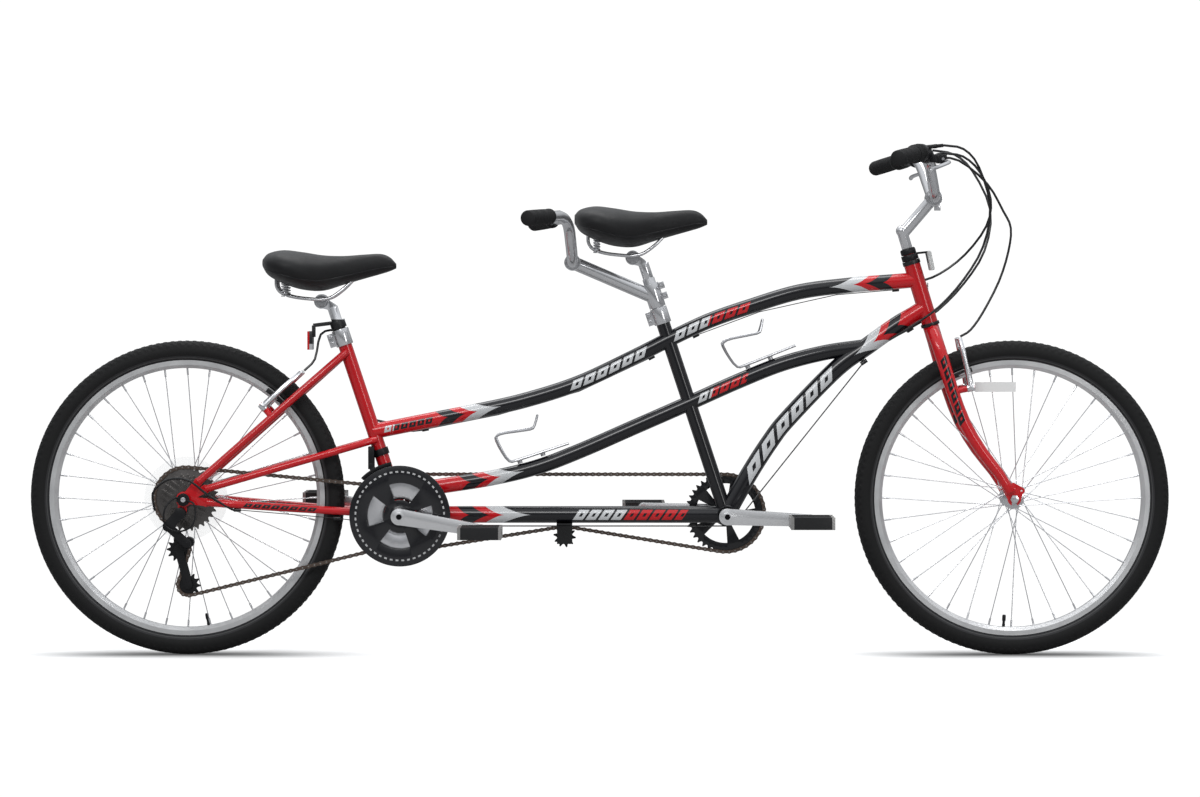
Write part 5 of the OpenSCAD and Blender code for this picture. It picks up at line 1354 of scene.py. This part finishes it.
@dataclass
class CaptainBar(Bar):
    """The captain's bar, with brake levers and twist shifters."""

    def perch(self, side: int) -> Skin:
        """The lever's clamp and bracket, the shifter's fixed half, and both cable barrels."""
        y = 0.42 * self.half
        b, d = self.on(y, side), self.way(y, side)
        v = b + mm(30, 0, -8)
        lever_end = b + mm(37, -side * 21, 4)
        pod = self.on(y + 0.012, side)
        turn = self.on(0.54 * self.half, side)
        way = self.way(0.54 * self.half, side)
        pod_end = pod + mm(40, -side * 9, 17)
        screw = [(0, .0042), (.45, .0042), (.5, .0045), (.62, .0045), (.66, .0038), (1, .0036)]
        cheeks = [rounded_box(v + mm(-8, y0, -9), v + mm(13, y1, 9), 0.0018, 9) for y0, y1 in ((-9, -5.4), (5.4, 9))]
        return joined([
            barrel(b - 0.009 * d, b + 0.009 * d, [(0, .0152), (.08, .016), (.92, .016), (1, .0152)], 36),
            rounded_box(b + mm(8, -9, -15), b + mm(24, 9, 1), 0.003, 11), *cheeks,
            barrel(b + mm(14, -side * 4, -4), lever_end, screw, 20),
            barrel(pod - 0.004 * d, turn - 0.008 * way, [(0, .0135), (.15, .0150), (1, .0150)], 36),
            barrel(turn - 0.014 * way, turn - 0.0006 * way, [(0, .016), (.12, .017), (1, .017)], 40),
            barrel(pod + mm(4, 0, 13), pod_end, screw, 20)])

    def shifter(self, side: int) -> Skin:
        """The twist grip: a ribbed sleeve with a smooth collar."""
        y = 0.54 * self.half
        start, way = self.on(y, side), self.way(y, side)
        t = np.linspace(0.26, 0.95, 70)
        ribs = 0.0178 + 0.0012 * np.clip(np.sin(t * 2 * math.pi * 11) * 2, -0.8, 1)
        outline = [(0, .0170), (.02, .0182), (.2, .0184), (.23, .0168), *zip(t, ribs), (.97, .0176), (1, .0166)]
        return barrel(start + 0.0004 * way, start + 0.0436 * way, outline, 44)

    def lever(self, side: int) -> Skin:
        """The brake lever: an oval blade that widens at its tip, on a block between the bracket's cheeks."""
        v = self.on(0.42 * self.half, side) + mm(30, 0, -8)
        way = self.way(0.54 * self.half, side)
        out = v + mm(4, 0, -3)
        path = spline(np.array([out + mm(4, 0, 0), out + mm(12, side * 22, -4), out + 0.062 * way + mm(10, 0, -8),
                                out + 0.105 * way + mm(8, 0, -10), out + 0.130 * way + mm(14, 0, -12)]), 8)
        t = np.linspace(0, 1, len(path))
        wide = np.interp(t, [0, .12, .5, .88, .96, 1], [.0045, .0040, .0042, .0046, .0046, .0030])
        blade = sweep(path, wide, 24, height=wide * np.interp(t, [0, .2, .9, 1], [1, .72, .8, 1]))
        block = rounded_box(v + mm(-1, -4.8, -10), v + mm(13, 4.8, 6), 0.002, 11)
        pin = barrel(v + mm(5, -9.4, 0), v + mm(5, 9.4, 0), [(0, .0028), (.03, .0032), (.97, .0032), (1, .0028)], 16)
        return joined([blade, block, pin])

    def build(self) -> None:
        """Builds the bar, then its controls on both sides."""
        super().build()
        for side, label in ((-1, "right"), (1, "left")):
            piece(f"perch_{label}", self.perch(side), self.paints.plastic, self.body, "captain_handlebar",
                  slot="black_plastic")
            piece(f"twist_grip_{label}", self.shifter(side), self.paints.grip, f"{label}_shifter", f"{label}_shifter",
                  slot="black_plastic")
            piece(f"lever_blade_{label}", self.lever(side), self.paints.polished, f"{label}_brake_lever",
                  f"{label}_brake_lever", slot="alloy")


@dataclass
class Saddle:
    """A wide sprung saddle: padded cover, piping, rails and two coil springs.

    Attributes:
        paints: the shared finishes.
        rider: captain or stoker.
        clamp: the centre of its rail clamp.
        stations: rows of share of the length, half width share, underside and top above the clamp.
    """

    paints: Paints
    rider: str
    clamp: np.ndarray
    length: float = 0.274
    width: float = 0.206
    rear: float = 0.120
    stations: list = field(default_factory=lambda: [
        (0, .3, 70, 88), (.05, .78, 52, 100), (.16, 1, 36, 106), (.3, .97, 24, 102), (.45, .72, 22, 96),
        (.6, .42, 34, 95), (.75, .27, 46, 98), (.88, .2, 56, 99), (.95, .16, 62, 92), (1, .08, 68, 78)])

    @property
    def body(self) -> str:
        """The body the saddle rides on."""
        return f"{self.rider}_saddle"

    def section(self, share: np.ndarray, angle: np.ndarray, swell: float = 1.0) -> np.ndarray:
        """Points of the cover.

        Formula: at each share of the length the section is a superellipse between the underside and the
        top, its width the station's; the crown dips a little along the middle, and the cover swells
        outwards by the given factor.
        """
        s = spline(np.array(self.stations, float), 10)
        s = np.stack([np.interp(share, s[:, 0], s[:, k]) for k in range(4)], 1)
        half_w = s[:, 1] * self.width / 2 * swell
        middle, half_h = (s[:, 2] + s[:, 3]) / 2000, (s[:, 3] - s[:, 2]) / 2000
        c, h = np.cos(angle), np.sin(angle)
        y = half_w[:, None] * np.sign(c) * np.abs(c) ** 0.75
        dip = 0.0022 * np.exp(-(y / 0.012) ** 2) * np.clip(h, 0, 1) * np.sin(math.pi * np.clip(share, 0, 1))[:, None]
        z = middle[:, None] + half_h[:, None] * np.sign(h) * np.abs(h) ** 0.9 - dip
        x = np.broadcast_to((share * self.length - self.rear)[:, None], y.shape)
        return self.clamp + np.stack([x, y, z], -1)

    def cover(self) -> Skin:
        """The cover, closed at the nose and the tail."""
        share = 0.5 - 0.5 * np.cos(np.linspace(0, math.pi, 64))
        angle = np.linspace(0, 2 * math.pi, 56, endpoint=False) + 0.01
        points = self.section(share, angle[None, :].repeat(len(share), 0)[0])
        for k in (0, -1):
            middle = points[k].mean(0)
            points[k] = middle + (points[k] - middle) * 0.55
        ends = [points[k].mean(0)[None].repeat(points.shape[1], 0) for k in (0, -1)]
        return grid(np.concatenate([ends[0][None], points, ends[1][None]]), wrap=True)

    def piping(self) -> Skin:
        """The welt round the lower edge of the cover."""
        share = np.linspace(0.03, 0.985, 60)
        low = math.radians(-24)
        left = self.section(share, np.array([low]))[:, 0]
        right = mirrored(left)[::-1]
        path = np.vstack([left, right, left[:1]])
        return sweep(resampled(path, 180), 0.0016, 10, caps=False)

    def springs(self) -> Skin:
        """Two coil springs between the rails and the pan: six turns, closed at the ends."""
        t = np.linspace(0, 1, 150)
        coils = []
        for side in (-1, 1):
            a = 2 * math.pi * 6 * t
            coil = [-0.074 + 0.0060 * np.cos(a), side * 0.031 + 0.0060 * np.sin(a), 0.0117 + 0.0325 * t]
            path = self.clamp + np.stack(coil, 1)
            coils.append(sweep(path, 0.00145, 8))
            foot = self.clamp + mm(-74, side * 31, 10.0)
            coils.append(barrel(foot, foot + mm(0, 0, 1.6), [(0, .0074), (1, .0074)], 24))
            coils.append(barrel(foot + mm(0, 0, 34.4), foot + mm(0, 0, 36), [(0, .0074), (1, .0074)], 24))
        return joined(coils)

    def rails(self) -> Skin:
        """The two rails and the drum of the clamp between them."""
        line = mm([-92, 22, 50], [-91, 22, 30], [-80, 22, 17], [-55, 22, 9], [-22, 22, 5], [0, 22, 4], [22, 22, 9],
                  [46, 18, 26], [66, 11, 46])
        left = sweep(self.clamp + spline(line, 6), 0.0035, 14)
        drum = barrel(self.clamp + mm(0, -18.4, 0), self.clamp + mm(0, 18.4, 0),
                      [(0, .0106), (.03, .01145), (.97, .01145), (1, .0106)], 40)
        return joined([left, left.flipped(), drum])

    def build(self) -> None:
        """Builds the saddle's pieces."""
        cover = piece(f"{self.rider}_saddle_cover", self.cover(), self.paints.vinyl, self.body, f"{self.rider}_saddle",
                      slot="saddle_cover", smooth=60)
        piece(f"{self.rider}_saddle_piping", self.piping(), self.paints.jacket, self.body, slot="saddle_cover")
        badge = self.clamp + mm(-106, 0, 88)
        piece(f"{self.rider}_saddle_badge", rounded_box(badge + mm(-6, -11, -4), badge + mm(-2, 11, 4), 0.001, 9),
              self.paints.polished, self.body)
        node = f"{self.rider}_saddle_rails"
        piece(f"{self.rider}_rails", self.rails(), self.paints.chrome, self.body, node, slot="chrome")
        piece(f"{self.rider}_springs", self.springs(), self.paints.chrome, self.body, node, slot="chrome")


@dataclass
class Seating:
    """Both seat posts with their saddles."""

    at: Layout
    paints: Paints

    def build(self) -> None:
        """Dresses the posts and builds the saddles."""
        dress("captain_seatpost", self.paints.chrome, 0.0004)
        low, _ = (np.array(c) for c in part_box("stoker_seatpost"))
        lens = (float(low[0]) - 0.01, -0.1, 0.0), (float(low[0]) + 0.0042, 0.1, float(self.at.stoker_top[2] + 0.040))
        ring = self.at.stoker_top + 0.045 * self.at.up_seat
        bracket = tuple(ring + mm(-60, -40, -40)), tuple(ring + mm(20, 40, 10.5))
        dress("stoker_seatpost", Zoned("stoker_post_finish", Shade.CHROME, True, 0.10, (
            Zone(*bracket, Shade.PLASTIC, False, 0.4), Zone(*lens, Shade.LENS, False, 0.12))).build(), 0.0004)
        Saddle(self.paints, "captain", self.at.clamp).build()
        Saddle(self.paints, "stoker", self.at.stoker_clamp).build()


@dataclass
class Brakes:
    """The four brake arms."""

    paints: Paints

    def build(self) -> None:
        """Dresses the arms: bright metal, with black pads beside the rim."""
        finish = Zoned("brake_arm_finish", Shade.CHROME, True, 0.22, (
            Zone((-2, -0.0213, 0), (2, 0.0213, 2), Shade.RUBBER, False, 0.7),)).build()
        for end in ("front", "rear"):
            for side in ("right", "left"):
                dress(f"{end}_brake_arm_{side}", finish, 0.0006)


@dataclass
class Studio:
    """The camera, the pale floor and the lights."""

    at: Layout
    eye: tuple[float, float, float] = (0.025, -7.5, 0.753)
    target: tuple[float, float, float] = (0.001, 0.0, 0.530)
    lens: float = 108.9

    def camera(self) -> None:
        """Places the camera that looks across the bicycle from its right."""
        cam = bpy.data.cameras.new("camera")
        cam.lens, cam.sensor_width = self.lens, 36.0
        made = bpy.data.objects.new("camera", cam)
        bpy.context.scene.collection.objects.link(made)
        made.location = self.eye
        made.rotation_euler = (Vector(self.target) - Vector(self.eye)).to_track_quat("-Z", "Y").to_euler()
        bpy.context.scene.camera = made

    def light(self, name: str, place: tuple, size: tuple, power: float) -> None:
        """A soft box that points at the middle of the bicycle."""
        data = bpy.data.lights.new(name, "AREA")
        data.shape, data.size, data.size_y, data.energy = "RECTANGLE", size[0], size[1], power
        made = bpy.data.objects.new(name, data)
        bpy.context.scene.collection.objects.link(made)
        made.location = place
        made.rotation_euler = (Vector((0, 0, 0.5)) - Vector(place)).to_track_quat("-Z", "Y").to_euler()

    def floor(self) -> None:
        """A floor that is white but for soft shadows painted near the wheels, and grey to what it lights.

        Formula: the share of pure white grows smoothly with the distance from the bicycle's middle plane
        and past its ends; under each wheel a painted soft shadow falls off with the square of the distance
        across and the cube of the distance along.
        """
        g = Graph("studio_floor")
        x, y, _ = g.split(g.place())
        away = g.math("MAXIMUM", g.math("SUBTRACT", g.math("ABSOLUTE", x), 1.35), g.math("ABSOLUTE", y))
        wide = g.math("MULTIPLY", g.math("POWER", g.math("DIVIDE", g.math("ABSOLUTE", y), 0.075), 2.0), -1.0)
        painted_light = 1.0
        # painted shadows: a soft dark patch under each wheel darkens the floor's colour and glow
        for axle in (self.at.front_axle, self.at.rear_axle):
            along = g.math("DIVIDE", g.math("ABSOLUTE", g.math("SUBTRACT", x, float(axle[0]))), 0.30)
            depth = g.math("EXPONENT", g.math("SUBTRACT", wide, g.math("POWER", along, 3.0)))
            painted_light = g.math("MULTIPLY", painted_light, g.math("SUBTRACT", 1.0, g.math("MULTIPLY", depth, 0.85)))
        far = g.math("MULTIPLY", g.math("DIVIDE", away, 0.75, clamp=True), painted_light)
        # the painted shadows darken the base colour towards 0.05 and dim the glow
        g.set(Base_Color=g.mix(painted_light, (0.05, 0.05, 0.05, 1), (0.80, 0.80, 0.80, 1)), Roughness=0.95,
              Emission_Color=(1, 1, 1, 1), Emission_Strength=g.math("MULTIPLY", painted_light, 0.42), Specular_IOR_Level=0.1)
        white, dim = g.node("ShaderNodeEmission"), g.node("ShaderNodeBsdfDiffuse")
        white.inputs["Strength"].default_value = 1.05
        dim.inputs["Color"].default_value = (0.34, 0.34, 0.34, 1)
        near, seen = g.node("ShaderNodeMixShader"), g.node("ShaderNodeMixShader")
        g.put(near.inputs[0], far)
        g.put(near.inputs[1], g.shader.outputs[0])
        g.put(near.inputs[2], white.outputs[0])
        g.put(seen.inputs[0], g.node("ShaderNodeLightPath").outputs["Is Camera Ray"])
        g.put(seen.inputs[1], dim.outputs[0])
        g.put(seen.inputs[2], near.outputs[0])
        g.put(g.tree.nodes["Material Output"].inputs[0], seen.outputs[0])
        mesh = bpy.data.meshes.new("floor")
        mesh.from_pydata([(-40, -12, 0), (40, -12, 0), (40, 40, 0), (-40, 40, 0)], [], [(0, 1, 2, 3)])
        mesh.materials.append(g.material)
        made = bpy.data.objects.new("floor", mesh)
        bpy.context.scene.collection.objects.link(made)

    def world(self) -> None:
        """White to the camera; to the bicycle, bright overhead and dark towards the ground."""
        world = bpy.data.worlds.new("studio")
        bpy.context.scene.world = world
        world.use_nodes = True
        tree = world.node_tree
        tree.nodes.clear()
        path, where = tree.nodes.new("ShaderNodeLightPath"), tree.nodes.new("ShaderNodeTexCoord")
        parts, ramp = tree.nodes.new("ShaderNodeSeparateXYZ"), tree.nodes.new("ShaderNodeMapRange")
        soft, bright = tree.nodes.new("ShaderNodeBackground"), tree.nodes.new("ShaderNodeBackground")
        ramp.interpolation_type = "SMOOTHSTEP"
        for socket, value in zip(ramp.inputs[1:5], (-0.15, 0.75, 0.10, 0.95)):
            socket.default_value = value
        tree.links.new(where.outputs["Generated"], parts.inputs[0])
        tree.links.new(parts.outputs[2], ramp.inputs[0])
        tree.links.new(ramp.outputs[0], soft.inputs["Strength"])
        soft.inputs["Color"].default_value = (0.94, 0.97, 1.0, 1)
        bright.inputs["Color"].default_value = (1, 1, 1, 1)
        bright.inputs["Strength"].default_value = 1.05
        mix, out = tree.nodes.new("ShaderNodeMixShader"), tree.nodes.new("ShaderNodeOutputWorld")
        tree.links.new(path.outputs["Is Camera Ray"], mix.inputs[0])
        tree.links.new(soft.outputs[0], mix.inputs[1])
        tree.links.new(bright.outputs[0], mix.inputs[2])
        tree.links.new(mix.outputs[0], out.inputs[0])

    def build(self) -> None:
        """Sets up the studio."""
        self.camera()
        self.floor()
        self.world()
        self.light("key", (-1.5, -4.5, 3.6), (3.2, 1.2), 85)
        self.light("fill", (3.2, -4.5, 1.6), (1.0, 2.2), 30)
        self.light("top", (0.3, 0.4, 4.0), (4.5, 1.2), 70)
        bpy.context.scene.view_settings.view_transform = "Standard"


class Tandem:
    """The whole bicycle."""

    def build(self, at: Layout) -> None:
        """Builds every sub-assembly on the frame."""
        paints = Paints()
        FrameTubes(at, paints).build()
        RearTriangle(at, paints).build()
        SteeredFork(at, paints).build()
        FrontWheel(paints, "front", at.front_axle, -93.4).build()
        RearWheel(paints, "rear", at.rear_axle, -80.9).build()
        Drivetrain(at, paints).build()
        dress("stem", paints.polished, 0.0004)
        CaptainBar(at, paints, "captain", at.bar, 6, "handlebar").build()
        Bar(at, paints, "stoker", at.stoker_bar, -3, "stoker_handlebar").build()
        Seating(at, paints).build()
        Brakes(paints).build()


def main() -> None:
    """Sets up the studio and builds the bicycle."""
    logging.basicConfig(level=logging.INFO, format="%(name)s %(message)s")
    at = Layout()
    Studio(at).build()
    Tandem().build(at)


if __name__ == "__main__":
    main()
